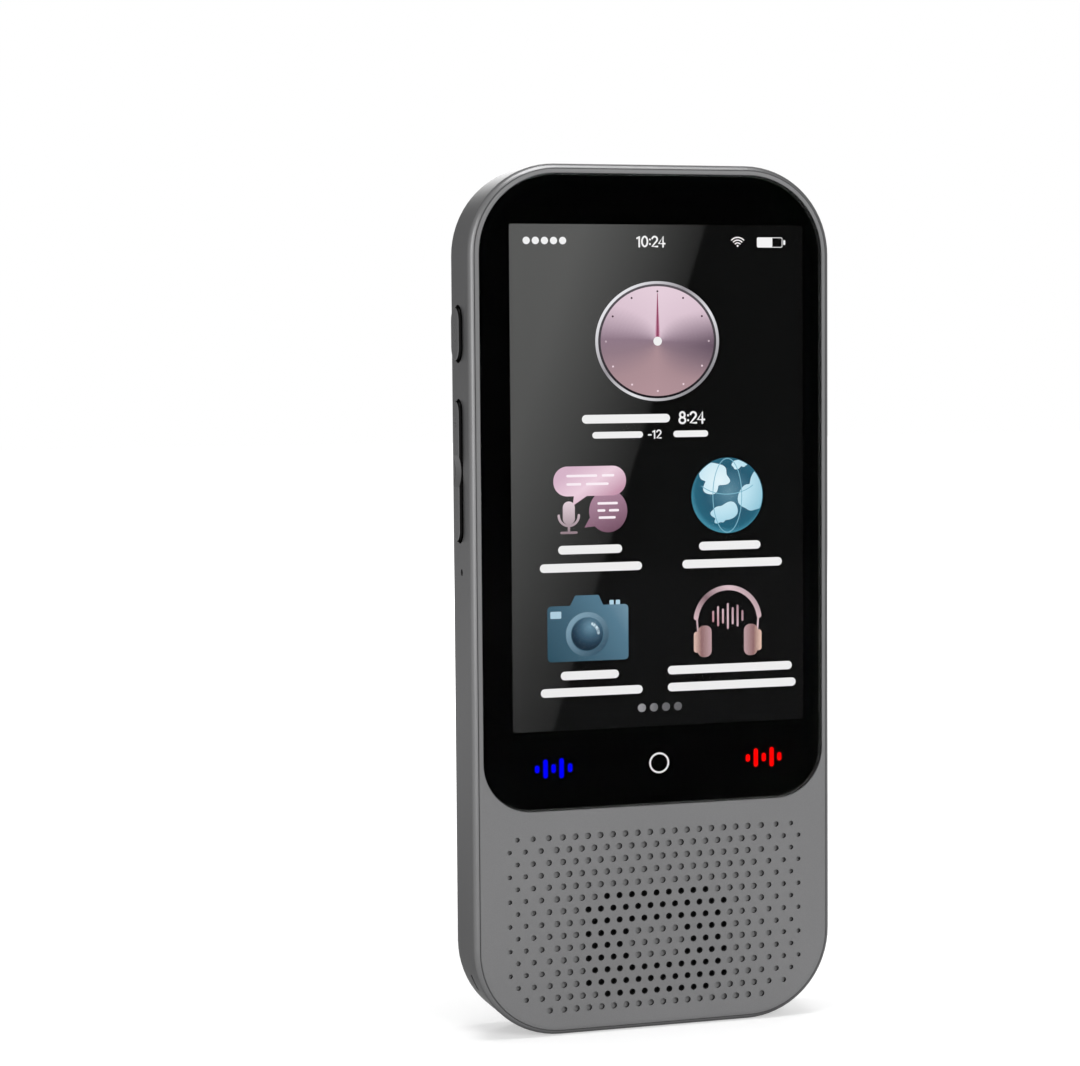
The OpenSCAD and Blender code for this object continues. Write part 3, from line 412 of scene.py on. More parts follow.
def lathe(profile, centre, around=192):
    # a profile of radius and depth turned round an axis along Y: x = cx + r cos a, z = cz + r sin a
    profile = np.asarray(profile, dtype=float)
    poled = profile[0, 0] == 0
    body = profile[1:-1] if poled else profile
    turn = np.linspace(0, 2 * math.pi, around, endpoint=False)
    rows = len(body)
    points = np.stack([
        centre[0] + np.outer(body[:, 0], np.cos(turn)),
        np.repeat(body[:, 1:], around, axis=1),
        centre[1] + np.outer(body[:, 0], np.sin(turn)),
    ], axis=-1).reshape(-1, 3)
    i = np.arange(rows - 1 if poled else rows)[:, None] * around
    k = (i + around) % (rows * around)
    j = np.arange(around)
    quads = np.stack(np.broadcast_arrays(i + j, i + np.roll(j, -1), k + np.roll(j, -1), k + j), -1).reshape(-1, 4)
    if not poled:
        return points, [quads]
    ends = np.array([[centre[0], profile[0, 1], centre[1]], [centre[0], profile[-1, 1], centre[1]]])
    base, top = rows * around, (rows - 1) * around
    caps = np.vstack([
        np.column_stack([np.roll(j, -1), j, np.full(around, base)]),
        np.column_stack([top + j, top + np.roll(j, -1), np.full(around, base + 1)]),
    ])
    return np.vstack([points, ends]), [quads, caps]


def oval(x, z, across, up=None, count=64):
    turn = np.linspace(0, 2 * math.pi, count, endpoint=False)
    return np.column_stack([x + across * np.cos(turn), z + (up or across) * np.sin(turn)])


def arc(x, z, radius, start, end, count=40, up=None):
    turn = np.radians(np.linspace(start, end, count))
    return np.column_stack([x + radius * np.cos(turn), z + (up or radius) * np.sin(turn)])


def roundBox(x, z, wide, tall, corner, count=8):
    # four quarter arcs joined by straight sides
    turn = np.radians(np.linspace(0, 90, count))
    corners = []
    for k, (right, top) in enumerate(((1, 1), (-1, 1), (-1, -1), (1, -1))):
        middle = np.array([x + right * (wide / 2 - corner), z + top * (tall / 2 - corner)])
        quarter = turn + k * math.pi / 2
        corners.append(middle + corner * np.column_stack([np.cos(quarter), np.sin(quarter)]))
    return np.vstack(corners)


# what lies on the display, in thin layers between glass and sensor

print("screen")
layers = {"front": -5.262, "step": 0.009, "thick": 0.006}


def layer(k):
    front = layers["front"] - k * layers["step"]
    return front, front + layers["thick"]


def plate(outline, k, hole=None):
    return slab(outline, *layer(k), hole=hole)


def line(path, width, k):
    return stroke(path, width, *layer(k))


def bar(x0, x1, z, tall, k):
    return plate(roundBox((x0 + x1) / 2, z, x1 - x0, tall, min(tall, x1 - x0) / 2 * 0.98), k)


digitPaths = {
    "0": [arc(0.32, 0.5, 0.28, 90, 450, 28, up=0.48)],
    "1": [[(0.14, 0.8), (0.36, 1.0), (0.36, 0.0)]],
    "2": [np.vstack([arc(0.32, 0.72, 0.26, 165, -35, 14), [(0.06, 0.02), (0.6, 0.02)]])],
    "4": [[(0.46, 0.0), (0.46, 1.0), (0.02, 0.3), (0.64, 0.3)]],
    "8": [arc(0.32, 0.75, 0.22, -90, 270, 24, up=0.24), arc(0.32, 0.26, 0.28, 90, 450, 24, up=0.26)],
    ":": [[(0.14, 0.24), (0.14, 0.27)], [(0.14, 0.68), (0.14, 0.71)]],
    "-": [[(0.06, 0.42), (0.4, 0.42)]],
}
digitWide = {":": 0.3, "-": 0.5, "1": 0.6, "other": 0.72}


def numerals(text, x, z, tall, weight):
    # each digit is a stroke along a path in a unit box, set side by side from x
    solids = []
    for sign in text:
        solids += [line(np.asarray(path) * tall + (x, z), weight, 0) for path in digitPaths[sign]]
        x += digitWide.get(sign, digitWide["other"]) * tall
    return solids


def blob(x, z, size, seed, squash):
    # a coast: the radius is a sum of a few sines of the bearing, held inside the ball
    turn = np.linspace(0, 2 * math.pi, 72, endpoint=False)
    chance = np.random.default_rng(seed)
    orders = np.arange(1, 8)[:, None]
    waves = chance.uniform(0.2, 0.5, (7, 1)) / orders * np.sin(orders * turn + chance.uniform(0, 6.3, (7, 1)))
    radius = size * (1 + waves.sum(axis=0))
    x, z = globeX + x, globeZ + z
    flat = np.column_stack([x + radius * np.cos(turn), z + radius * squash * np.sin(turn)]) - (globeX, globeZ)
    out = np.linalg.norm(flat, axis=1, keepdims=True)
    return flat * np.minimum(1.0, (globe["radius"] - globe["shore"]) / out) + (globeX, globeZ)


# a piece of the picture is a list of parts, its ink and the ink's tones; a part is its kind, its
# layer and its numbers in mm: box x, z, wide, tall, corner, points; frame a box with wide, tall and
# corner of its hole; oval x, z, across, up, points; ring x, z, outer, inner; shape its corners; bar
# from, to, z, tall; line width, its points; arc width, x, z, across, from, to, points, up; blob x
# and z from the globe's middle, size, seed, height to width
partMakers = {
    "box": lambda k, *spots: plate(roundBox(*spots), k),
    "frame": lambda k, x, z, *sizes: plate(roundBox(x, z, *sizes[:3]), k, hole=roundBox(x, z, *sizes[3:])),
    "oval": lambda k, *spots: plate(oval(*spots), k),
    "ring": lambda k, x, z, outer, inner: plate(oval(x, z, outer), k, hole=oval(x, z, inner)),
    "shape": lambda k, *corners: plate(np.array(corners), k),
    "blob": lambda k, *spots: plate(blob(*spots), k),
    "bar": lambda k, *spots: bar(*spots, k),
    "line": lambda k, width, *path: line(path, width, k),
    "arc": lambda k, width, *spots: line(arc(*spots), width, k),
}


def draw(table):
    for name, (parts, ink, *rows) in table.items():
        if not isinstance(ink, Finish):
            maker, inkName, *place = ink
            ink = maker(inkName, tones(*rows), *place)
        piece(name, [partMakers[kind](k, *spots) for kind, k, *spots in parts], ink)


paleInk = litLine("lit_white", plain((0.86, 0.86, 0.86)), (-20, 50), (20, 136))
draw({"signal_dots": ([("oval", 0, x, 132.8, 0.62, 0.62, 32) for x in np.linspace(-21.61, -15.34, 5)], paleInk)})
clock = {"x": -2.6, "z": 131.86, "tall": 1.72, "weight": 0.3}
piece("time_digits", numerals("10:24", **clock), paleInk)
draw({
    "signal_waves": ([("arc", 0, 0.2, 15.52, 131.95, reach, 135, 45, 16) for reach in (0.62, 1.08, 1.54)]
                     + [("oval", 0, 15.52, 132.07, 0.17, 0.17, 20)], paleInk),
    "charge_mark": ([("frame", 0, 21.3, 132.66, 4.62, 1.72, 0.26, 4.4, 1.5, 0.18),
                     ("box", 1, 20.42, 132.66, 2.72, 1.5, 0.1), ("box", 0, 23.95, 132.66, 0.36, 0.8, 0.12)], paleInk),
})

dialLook = {
    "centre": (1.17, 116.02), "rim": 10.95, "rimWide": 0.5, "gap": 0.42, "flat": 0.92,
    "dots": 12, "dotRing": 9.1, "dot": 0.17, "hub": 0.75,
    "hand": (0, 4, 8.0), "handWide": (0.5, 0.34, 0.12), "glowWide": (1.0, 0.6, 0.1),
    "lean": 0.1, "rings": 9.0, "ringTone": 0.003, "band": (1.0, 5.5, 0.85), "bandTone": srgb(92, 76, 90),
    "face": tones((0.0, 230, 208, 220), (0.24, 220, 197, 210), (0.4, 180, 158, 172), (0.5, 143, 121, 135),
                  (0.6, 146, 123, 134), (0.8, 170, 141, 147), (1.0, 178, 147, 153)),
    "silver": tones((0.0, 120, 118, 122), (0.35, 226, 226, 230), (0.62, 150, 146, 152), (1.0, 240, 240, 244)),
    "groove": tones((0.0, 20, 16, 20), (1.0, 92, 86, 92)),
    "hours": tones((0.0, 236, 214, 222), (0.45, 230, 210, 220), (0.6, 66, 44, 54), (1.0, 60, 38, 48)),
}
dialX, dialZ = dialLook["centre"]
rimOut = dialLook["rim"]
rimIn = rimOut - dialLook["rimWide"]
faceOut = rimIn - dialLook["gap"]


def dialRound(radius):
    # the dial's circles are a little flatter than wide
    return oval(dialX, dialZ, radius, radius * dialLook["flat"], 128)


def dialFaceFinish(look):
    # spun metal on a screen: the tone falls from light above to a dark band and rises to rose below,
    # half by height and half by the bearing from the top; the band is darker on the right
    made = litPiece("lit_dial")
    middle = laid(*look["centre"])
    right, above = made.x - middle[0], made.z - middle[1]
    turned = abs(right.bearing(above) - look["lean"]) / math.pi
    fallen = 0.5 - above / (2 * faceOut * look["flat"])
    ring = (made.reach(*middle) * look["rings"]).sine() * look["ringTone"]
    face = made.ramp(turned * 0.5 + fallen * 0.5 + ring, look["face"])
    below, high, strength = look["band"]
    band = right.fade(0.5, faceOut) * (1 - abs(above + below) / high).most(0.0)
    made.set(glow=made.blend(face, look["bandTone"], band * strength))
    return made


piece("dial_rim", [plate(dialRound(rimOut), 1, hole=dialRound(rimIn))],
      litLine("lit_silver", dialLook["silver"], (dialX + 8, dialZ - 8), (dialX - 8, dialZ + 8)))
piece("dial_groove", [plate(dialRound(rimIn + 0.05), 0)],
      litLine("lit_groove", dialLook["groove"], (dialX, dialZ - 10), (dialX, dialZ + 10)))
piece("dial_face", [plate(dialRound(faceOut), 1)], dialFaceFinish(dialLook))
hourTurns = np.radians(np.arange(dialLook["dots"]) * 360 / dialLook["dots"])
hourSpots = np.column_stack([np.sin(hourTurns), np.cos(hourTurns) * dialLook["flat"]])
hourSpots = hourSpots * dialLook["dotRing"] + (dialX, dialZ)
piece("dial_dots", [plate(oval(x, z, dialLook["dot"], count=16), 2) for x, z in hourSpots],
      litLine("lit_hours", dialLook["hours"], (dialX, dialZ - 9), (dialX, dialZ + 9)))
handPath = [(dialX, dialZ + rise) for rise in dialLook["hand"]]
piece("dial_glow", [line(handPath, dialLook["glowWide"], 2)],
      litLine("lit_glow", tones((0.0, 204, 150, 176), (1.0, 222, 196, 210)), (0, 116), (0, 124)))
piece("dial_hand", [line(handPath, dialLook["handWide"], 3)],
      litLine("lit_hand", tones((146, 72, 100)), (0, 110), (0, 126)))
piece("dial_hub", [plate(oval(dialX, dialZ, dialLook["hub"], count=48), 4)], paleInk)

# words are left as plain rounded bars
draw({"caption_bars": ([("bar", 0, *spots) for spots in (
    (-12.2, 3.3, 103.05, 1.45), (-10.4, -1.5, 100.35, 1.1), (3.9, 10.1, 100.35, 1.1), (-16.5, -5.3, 81.2, 1.45),
    (-19.7, -1.8, 78.2, 1.45), (8.4, 19.5, 81.2, 1.45), (5.4, 23.4, 78.2, 1.45), (-16.2, -6.0, 60.0, 1.45),
    (-19.7, -1.8, 57.2, 1.45), (2.7, 25.2, 60.2, 1.45), (2.7, 25.9, 57.3, 1.45))], paleInk)})
captions = {"8:24": {"x": 4.9, "z": 102.15, "tall": 1.9, "weight": 0.34},
            "-12": {"x": -0.6, "z": 99.7, "tall": 1.35, "weight": 0.24}}
piece("caption_digits", [solid for text, look in captions.items() for solid in numerals(text, **look)], paleInk)
globe = {"centre": (13.52, 89.75), "radius": 6.45, "shore": 0.12}
globeX, globeZ = globe["centre"]
draw({
    "page_dots": (
        [("oval", 0, x, 54.0, 0.72, 0.72, 32) for x in (-1.94, 0.21, 2.36, 4.5)],
        (litLine, "lit_page", (-2.6, 54), (5.2, 54)), (0.0, 150, 150, 152), (0.45, 104, 104, 106), (1.0, 96, 96, 98)),
    # talk: two bubbles and a small microphone
    "bubble_wide": (
        [("box", 2, -10.9, 92.7, 12.7, 5.0, 2.4, 16), ("shape", 1, (-13.6, 91.0), (-13.9, 88.6), (-10.8, 90.6))],
        (litLine, "lit_pink", (-8, 89.5), (-12, 95.8)),
        (0.0, 196, 150, 172), (0.5, 236, 208, 222), (1.0, 214, 180, 200)),
    "bubble_round": (
        [("oval", 1, -7.7, 87.6, 3.35, 3.6, 56), ("shape", 0, (-10.3, 87.6), (-11.9, 84.9), (-8.6, 85.2))],
        (litLine, "lit_mauve", (-6, 84), (-9, 92)),
        (0.0, 112, 78, 96), (0.6, 158, 122, 142), (1.0, 176, 140, 160)),
    "bubble_lines": (
        [("bar", k, *spots, 0.42) for k, *spots in (
            (3, -15.0, -9.6, 93.6), (3, -8.8, -6.6, 93.6), (3, -15.0, -12.4, 92.2), (3, -11.6, -7.6, 92.2),
            (2, -9.6, -6.0, 88.9), (2, -9.6, -8.2, 87.7), (2, -7.6, -5.8, 87.7), (2, -9.4, -6.4, 86.5))],
        (litLine, "lit_bubble_lines", (-16, 86), (-5, 94)), (250, 238, 245)),
    "voice_mark": (
        [("box", 1, -14.6, 87.4, 2.1, 3.9, 1.03, 12), ("arc", 0, 0.42, -14.6, 87.0, 1.75, 180, 360, 28),
         ("line", 0, 0.42, (-14.6, 85.2), (-14.6, 84.4)), ("line", 0, 0.42, (-15.9, 84.1), (-13.3, 84.1))],
        (litLine, "lit_rose_grey", (-14, 83.6), (-14, 89.4)), (0.0, 138, 118, 126), (1.0, 226, 208, 216)),
    # globe: a shaded ball, blobs of land and thin circles
    "globe_ball": (
        [("oval", 0, globeX, globeZ, globe["radius"], globe["radius"], 96)],
        (litRound, "lit_sea", (globeX + 0.3, globeZ + 0.6), 6.9),
        (0.0, 98, 140, 158), (0.3, 70, 116, 137), (0.62, 42, 90, 112), (0.88, 40, 98, 120), (1.0, 66, 136, 158)),
    "globe_land": (
        [("blob", 1, -2.9, 2.9, 2.7, 3, 0.85), ("blob", 1, 4.6, 0.9, 2.3, 8, 1.5),
         ("blob", 1, -0.9, -3.6, 2.0, 5, 0.85), ("blob", 1, 2.4, 5.1, 1.3, 9, 0.6)],
        (litRound, "lit_land", (globeX - 1.5, globeZ + 2.5), 9.5),
        (0.0, 226, 244, 250), (0.6, 186, 224, 238), (1.0, 132, 190, 210)),
    "globe_lines": (
        [("arc", 2, 0.14, globeX, globeZ, 2.6, 90, 270, 40, 6.3),
         ("arc", 2, 0.14, globeX, globeZ, 2.6, -90, 90, 40, 6.3),
         ("arc", 2, 0.14, globeX, globeZ + 4.6, 6.2, 222, 318, 40, 4.4)],
        (litLine, "lit_globe_lines", (8, 84), (19, 96)), (128, 184, 204)),
    # picture taking: a camera seen from the front
    "picture_body": (
        [("box", 1, -11.37, 67.1, 14.2, 9.4, 0.7),
         ("shape", 0, (-14.6, 71.6), (-8.6, 71.6), (-9.5, 73.5), (-13.6, 73.5))],
        (litLine, "lit_steel", (-18.5, 63), (-4, 73)),
        (0.0, 46, 78, 94), (0.4, 66, 98, 116), (0.75, 84, 120, 140), (1.0, 120, 152, 170)),
    "picture_lens": (
        [("oval", 3, -11.5, 66.9, 2.75)], (litRound, "lit_deep", (-11.0, 68.2), 3.6),
        (0.0, 104, 140, 160), (0.5, 62, 92, 112), (0.8, 40, 62, 80), (1.0, 30, 46, 60)),
    "picture_ring": (
        [("ring", 2, -11.5, 66.9, 3.75, 2.9)],
        (litLine, "lit_ring", (-9, 64), (-14, 70)), (0.0, 54, 82, 100), (1.0, 128, 160, 178)),
    "picture_lights": (
        [("box", 2, -17.0, 70.3, 1.9, 1.2, 0.15), ("box", 0, -6.1, 72.15, 0.75, 0.8, 0.1),
         ("box", 0, -7.2, 72.15, 0.75, 0.8, 0.1)],
        (litLine, "lit_pale_blue", (-18, 66), (-5, 72)), (176, 206, 222)),
    "picture_glint": (
        [("arc", 3, 0.5, -11.5, 66.9, 1.95, 5, 62, 14)],
        (litLine, "lit_glint", (-12, 66), (-9, 69)), (210, 230, 240)),
    # listening: headphones with bars between them
    "phones_band": (
        [("arc", 0, 0.85, 13.52, 68.2, 5.75, 172, 8, 56), ("line", 0, 0.3, (7.95, 69.2), (8.15, 66.4)),
         ("line", 0, 0.3, (19.1, 69.2), (18.9, 66.4))], (litLine, "lit_rose", (6.8, 62), (20.2, 73)),
        (0.0, 110, 84, 90), (0.3, 206, 178, 184), (0.5, 132, 106, 112), (0.75, 216, 190, 196), (1.0, 150, 124, 130)),
    "phones_cups": (
        [("box", 1, x, 64.9, 2.5, 5.4, 1.1, 12) for x in (9.35, 17.7)]
        + [("box", 2, x, 64.8, 1.1, 3.6, 0.5, 10) for x in (7.95, 19.1)],
        (litLine, "lit_copper", (7.3, 64), (19.7, 64)),
        (0.0, 226, 192, 178), (0.12, 140, 104, 104), (0.3, 196, 166, 170), (0.7, 196, 166, 170),
        (0.88, 140, 104, 104), (1.0, 230, 196, 178)),
    "phones_bars": (
        [("line", 0, 0.34, (x, 69.1 - tall / 2), (x, 69.1 + tall / 2))
         for x, tall in zip(np.linspace(10.9, 16.2, 7), (1.6, 3.1, 2.2, 4.1, 2.6, 3.4, 1.5))],
        (litLine, "lit_bars", (10.6, 67), (16.5, 71)),
        (0.0, 168, 100, 112), (0.5, 214, 186, 194), (1.0, 150, 112, 122)),
})

screenLook = {
    "foot": (-18.0, 51.1), "slope": 0.3266, "soft": 0.35, "reach": 22.0, "rise": (50.0, 134.0),
    "sheen": (0.012, 0.014, 0.068), "pixel": 0.36, "grid": 0.0003, "tone": 0.003,
}


def screenFinish(look):
    # dark picture with a soft grey sheen left of a slanting line, brightest at the top left
    made = Finish("lit_screen", base=(0.004, 0.004, 0.005), gloss=0.2, rough=0.4, glowPower=1.0)
    footX, footZ = look["foot"]
    least, wide, tall = look["sheen"]
    slant = footX + (made.z - footZ) * look["slope"] - made.x
    side, far = slant.fade(-look["soft"], look["soft"]), slant.fade(0.0, look["reach"])
    height = made.z.fade(*look["rise"]) ** 0.5
    sheen = side * (least + far * (wide + height * tall))
    grid = made.x.wave(look["pixel"]) * made.z.wave(look["pixel"]) * look["grid"]
    tone = sheen + grid + look["tone"]
    made.set(glow=made.node("CombineColor", {}, {0: tone, 1: tone * 1.01, 2: tone * 0.99}))
    return made


# marks under the glass below the screen

print("touch marks")
markLook = {
    "height": 44.45, "home": 1.08, "homeOut": 1.78, "line": 0.3, "wide": 0.8, "depth": (-5.318, -5.304),
    "tall": (1.3, 3.2, 1.5, 3.4, 1.5),
    "blue": (-20.46, -19.0, -17.6, -16.2, -14.7), "red": (17.1, 18.55, 20.0, 21.45, 22.85),
}
markHeight, endRound = markLook["height"], markLook["wide"] / 2
homeOut, homeIn = (oval(markLook["home"], markHeight, markLook["homeOut"] - inset, count=72)
                   for inset in (0, markLook["line"]))
piece("home_mark", [slab(homeOut, *markLook["depth"], hole=homeIn)],
      litLine("mark_white", plain((0.8, 0.8, 0.8)), (-2, 42), (4, 47)))
for side, colour in (("blue", (0.0, 0.0, 1.0)), ("red", (1.0, 0.0, 0.0))):
    marks = [stroke([(x, markHeight - tall / 2 + endRound), (x, markHeight + tall / 2 - endRound)],
                    markLook["wide"], *markLook["depth"]) for x, tall in zip(markLook[side], markLook["tall"])]
    piece(side + "_voice_mark", marks, litLine("mark_" + side, plain(colour, 1.0001), (-24, 42), (24, 47)))

# marks on the side keys, hardly proud of their faces

print("key marks")
keyLook = {
    "face": 32.5, "middle": 1.5, "proud": (-0.006, 0.01), "line": 0.24,
    "power": 118.0, "volume": 95.1, "photo": 118.2, "blue": 101.3, "red": 87.2,  # height of each key's middle
    "plus": 103.2, "minus": 86.6, "sign": 0.7,
    "talkAcross": (0.9, 1.9, 1.2, 2.1, 0.9), "talkRise": 1.9, "talkLine": 0.42,
}
keyMiddle = keyLook["middle"]


def keyInk(name, colour):
    # printed ink with a slightly uneven edge in its tone
    made = Finish(name, gloss=0.4)
    grain = made.noise(0.08, 3.0)
    made.set(base=made.toned(colour, 0.8, 1.15, grain), rough=0.45 + grain * 0.2)
    return made


def leftLine(path, width=keyLook["line"]):
    # seen from the left a piece's own right is -Y, so the middle of a key is at -1.5 there
    return stroke(path, width, *keyLook["proud"], turn=onLeft(keyLook["face"]))


def rightLine(path, width=keyLook["line"]):
    return stroke(path, width, *keyLook["proud"], turn=onRight(keyLook["face"]))


def rightPlate(outline, hole):
    return slab(outline, *keyLook["proud"], hole=hole, turn=onRight(keyLook["face"]))


darkInk = keyInk("ink_dark", (0.012, 0.012, 0.013))
signFrom, signTo = -keyMiddle - keyLook["sign"], -keyMiddle + keyLook["sign"]
power, plus, minus, photo = (keyLook[key] for key in ("power", "plus", "minus", "photo"))
piece("power_mark", [leftLine(arc(-keyMiddle, power, 1.25, 120, 420, 40)),
                     leftLine([(-keyMiddle, power + 0.2), (-keyMiddle, power + 1.6)])],
      darkInk, "power_key")
piece("volume_marks", [leftLine([(signFrom, plus), (signTo, plus)]),
                       leftLine([(-keyMiddle, plus - keyLook["sign"]), (-keyMiddle, plus + keyLook["sign"])]),
                       leftLine([(signFrom, minus), (signTo, minus)])], darkInk, "volume_key")
piece("photo_mark", [
    rightPlate(roundBox(keyMiddle, photo, 2.5, 3.9, 0.5), roundBox(keyMiddle, photo, 2.14, 3.54, 0.36)),
    rightPlate(oval(keyMiddle, photo, 0.75, count=32), oval(keyMiddle, photo, 0.55, count=32)),
    rightLine([(keyMiddle + 1.55, photo - 0.7), (keyMiddle + 1.55, photo + 0.7)], 0.22),
], keyInk("ink_grey", (0.3, 0.3, 0.31)), "photo_key")
talkRises = np.linspace(-keyLook["talkRise"], keyLook["talkRise"], len(keyLook["talkAcross"]))
for key, colour in (("blue", (0.03, 0.025, 0.5)), ("red", (0.5, 0.035, 0.03))):
    marks = [rightLine([(keyMiddle - across / 2, keyLook[key] + rise), (keyMiddle + across / 2, keyLook[key] + rise)],
                       keyLook["talkLine"]) for across, rise in zip(keyLook["talkAcross"], talkRises)]
    piece(key + "_key_mark", marks, keyInk("ink_" + key, colour), key + "_talk_key")

# camera: spun dish, stepped barrel

print("camera")
cameraSpot = (-1.3, 126.3)
# the light colour is that of the painted highlights on the dish, the dark one is the black metal
dishLook = {
    "out": 7.2, "bezel": 0.35, "in": 3.0, "bore": 2.85, "back": 6.2, "deep": 0.75, "pitch": 0.11, "cut": 0.018,
    "flange": 8.2, "cover": 4.9, "front": 4.2, "window": 4.95, "ledge": 2.2,
    "turn": 0.3, "narrow": 1.5, "weak": 0.16, "dark": (0.0025, 0.0025, 0.0028), "light": (0.3, 0.3, 0.31),
}


def dishProfile(look):
    # a straight cone with a zigzag of tool grooves on it, then rim, flange and bore
    outer = look["out"] - look["bezel"]
    count = 2 * int((outer - look["in"]) / look["pitch"])
    part = np.linspace(0, 1, count + 1)
    radius = look["in"] + (outer - look["in"]) * part
    depth = look["back"] - look["deep"] * (1 - part) - look["cut"] * (np.arange(count + 1) % 2)
    rim = [(look["out"] - 0.08, look["back"]), (look["out"], look["back"] - 0.08), (look["out"], look["cover"]),
           (look["flange"], look["cover"]), (look["flange"], look["front"]), (look["ledge"], look["front"]),
           (look["ledge"], look["window"]), (look["bore"], look["window"]),
           (look["bore"], look["back"] - look["deep"])]
    return np.vstack([np.column_stack([radius, depth]), rim])


def dishFinish(look):
    # black spun metal with painted highlights: two strong and two weak flares, painted into the base colour
    # from the sine of twice the bearing in place of the metal's reflection; fine tool marks by distance, black on the
    # rim and in the bore
    made = Finish("spun_black", metal=1.0, rough=0.28)
    out = made.reach(*cameraSpot)
    bearing = (made.z - cameraSpot[1]).bearing(made.x - cameraSpot[0])
    twice = (bearing * 2 + look["turn"]).sine()
    mark = out.wave(look["pitch"])
    # painted highlight: strong flares where the sine of twice the bearing is high, weak ones where it is low
    paintedFlare = twice.most(0.0) ** look["narrow"] + (0 - twice).most(0.0) ** look["narrow"] * look["weak"]
    edge = look["out"] - look["bezel"]
    cone = out.fade(look["in"] - 0.04, look["in"] + 0.02) * (1 - out.fade(edge - 0.03, edge + 0.03))
    grit = made.noise(0.08, 3.0)
    made.set(
        base=made.blend(look["dark"], look["light"], cone * paintedFlare * (0.86 + mark * 0.05 + grit * 0.18)),
        normal=made.bump(mark, 0.002),
    )
    return made


dish = piece("camera_dish", [lathe(dishProfile(dishLook), cameraSpot, 160)], dishFinish(dishLook),
             smooth=50)
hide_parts("camera_ring")
barrelProfile = [  # radius and depth
    (0, 3.4), (2.05, 3.4), (2.05, 4.78), (1.98, 4.85), (1.93, 4.85), (1.87, 4.79), (1.84, 4.79), (1.84, 4.71),
    (1.76, 4.71), (1.76, 4.63), (1.68, 4.63), (1.65, 4.6), (1.65, 3.8), (0, 3.8),
]
barrel = piece("lens_barrel", [lathe(barrelProfile, cameraSpot, 96)],
               grainedPlastic("barrel_black", (0.012, 0.012, 0.013), 0.05, 0.45, 0.002), smooth=35)
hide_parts("camera_barrel")

# the pale crescent colour is a painted reflection
lensLook = {
    "radius": 1.65, "low": (0.002, 0.002, 0.012),
    "crescent": (0.22, 0.26, 0.44), "crescentAt": 0.66, "crescentWide": 0.13,
    "ring": [(0.0, (0.004, 0.004, 0.03)), (0.3, (0.012, 0.01, 0.1)), (0.5, (0.07, 0.06, 0.4)),
             (0.62, (0.02, 0.02, 0.14)), (0.8, (0.008, 0.008, 0.03)), (1.0, (0.002, 0.002, 0.004))],
}


def lensFinish(look):
    # coated glass: navy middle, a violet ring of the coating that is painted stronger above as painted light from
    # above, and a painted reflection, a pale crescent low on one side
    made = Finish("coated_lens", rough=0.03, gloss=0.12, coat=0.06, coatRough=0.02)
    out = made.reach(*cameraSpot) / look["radius"]
    ring = made.ramp(out + (made.noise(0.5, 1.0) - 0.5) * 0.03, look["ring"])
    # painted light: below, the coloured ring fades to the dark low colour, as if lit from above
    above = (made.z - cameraSpot[1]).fade(-0.9, 1.0)
    coated = made.blend(look["low"], ring, above * 0.8 + 0.2)
    # painted reflection: a pale crescent low on one side
    band = (1 - abs(out - look["crescentAt"]) / look["crescentWide"]).most(0.0)
    low = ((cameraSpot[1] - made.z) * 0.8 + (made.x - cameraSpot[0]) * 0.5).fade(0.35, 1.1)
    made.set(base=made.blend(coated, look["crescent"], band * low))
    return made


# socket contacts

contactLook = {
    "count": 12, "pitch": 0.5, "wide": 0.26, "from": 141.0, "to": 144.3, "corner": 0.08,
    "rows": ((-0.37, -0.34), (0.34, 0.37)),  # y of each row's two faces
}
contactX = (np.arange(contactLook["count"]) - (contactLook["count"] - 1) / 2) * contactLook["pitch"]
contactLong = contactLook["to"] - contactLook["from"]
contactHeight = (contactLook["from"] + contactLook["to"]) / 2
piece("socket_contacts", [
    slab(roundBox(x, contactHeight, contactLook["wide"], contactLong, contactLook["corner"], 4), *row, turn=asDrawn)
    for row in contactLook["rows"] for x in contactX],
      brushedMetal("gold_plate", (0.75, 0.52, 0.2), 0.05, (1, 1, 12), 0.25, 0.001))

# finishes of the CAD nodes

print("finishes")
bodyPaint = {
    "colour": (0.2, 0.2, 0.203), "speck": 0.11, "cloud": 22.0, "spread": 0.07, "rough": 0.42, "depth": 0.0025,
    "gloss": 0.08, "metal": 0.0, "tint": (1.0, 1.0, 1.0),
}
coverPaint = dict(bodyPaint, colour=(0.17, 0.17, 0.172), speck=0.14, rough=0.45)
# the frame is bare blasted metal of nearly the same tone, dull at grazing angles
frameMetal = dict(bodyPaint, colour=(0.15, 0.15, 0.152), metal=1.0, tint=(0.38, 0.38, 0.38), rough=0.36, speck=0.09)


def painted(made):
    # the base colour that a finish has so far
    return Signal(made.tree, made.shader.inputs["Base Color"].links[0].from_socket)


# the dark wall colour is painted shade in the holes; the floor colour is painted light, a lighter tone on the floors
# of the blind holes
grilleLook = {
    "wallFrom": -6.0, "wallTo": -5.88, "wall": (0.012, 0.012, 0.012), "wallPart": 0.9,
    "floorAt": -5.5, "floorNear": 0.04, "floor": (0.23, 0.23, 0.232),  # y in mm
}


def fasciaFinish(look):
    # the body paint, dark on the walls of the holes as painted shade, and lighter on the floors of the blind ones as
    # painted light
    made = satinPaint("panel_paint", bodyPaint)
    # painted shade on the hole walls deeper than the front face, painted light on the floors of the blind holes
    wall = made.y.fade(look["wallFrom"], look["wallTo"])
    paintedFloorLight = (1 - abs(made.y - look["floorAt"]) / look["floorNear"]).most(0.0)
    wallShaded = made.blend(painted(made), look["wall"], wall * look["wallPart"])
    made.set(base=made.blend(wallShaded, look["floor"], paintedFloorLight))
    return made


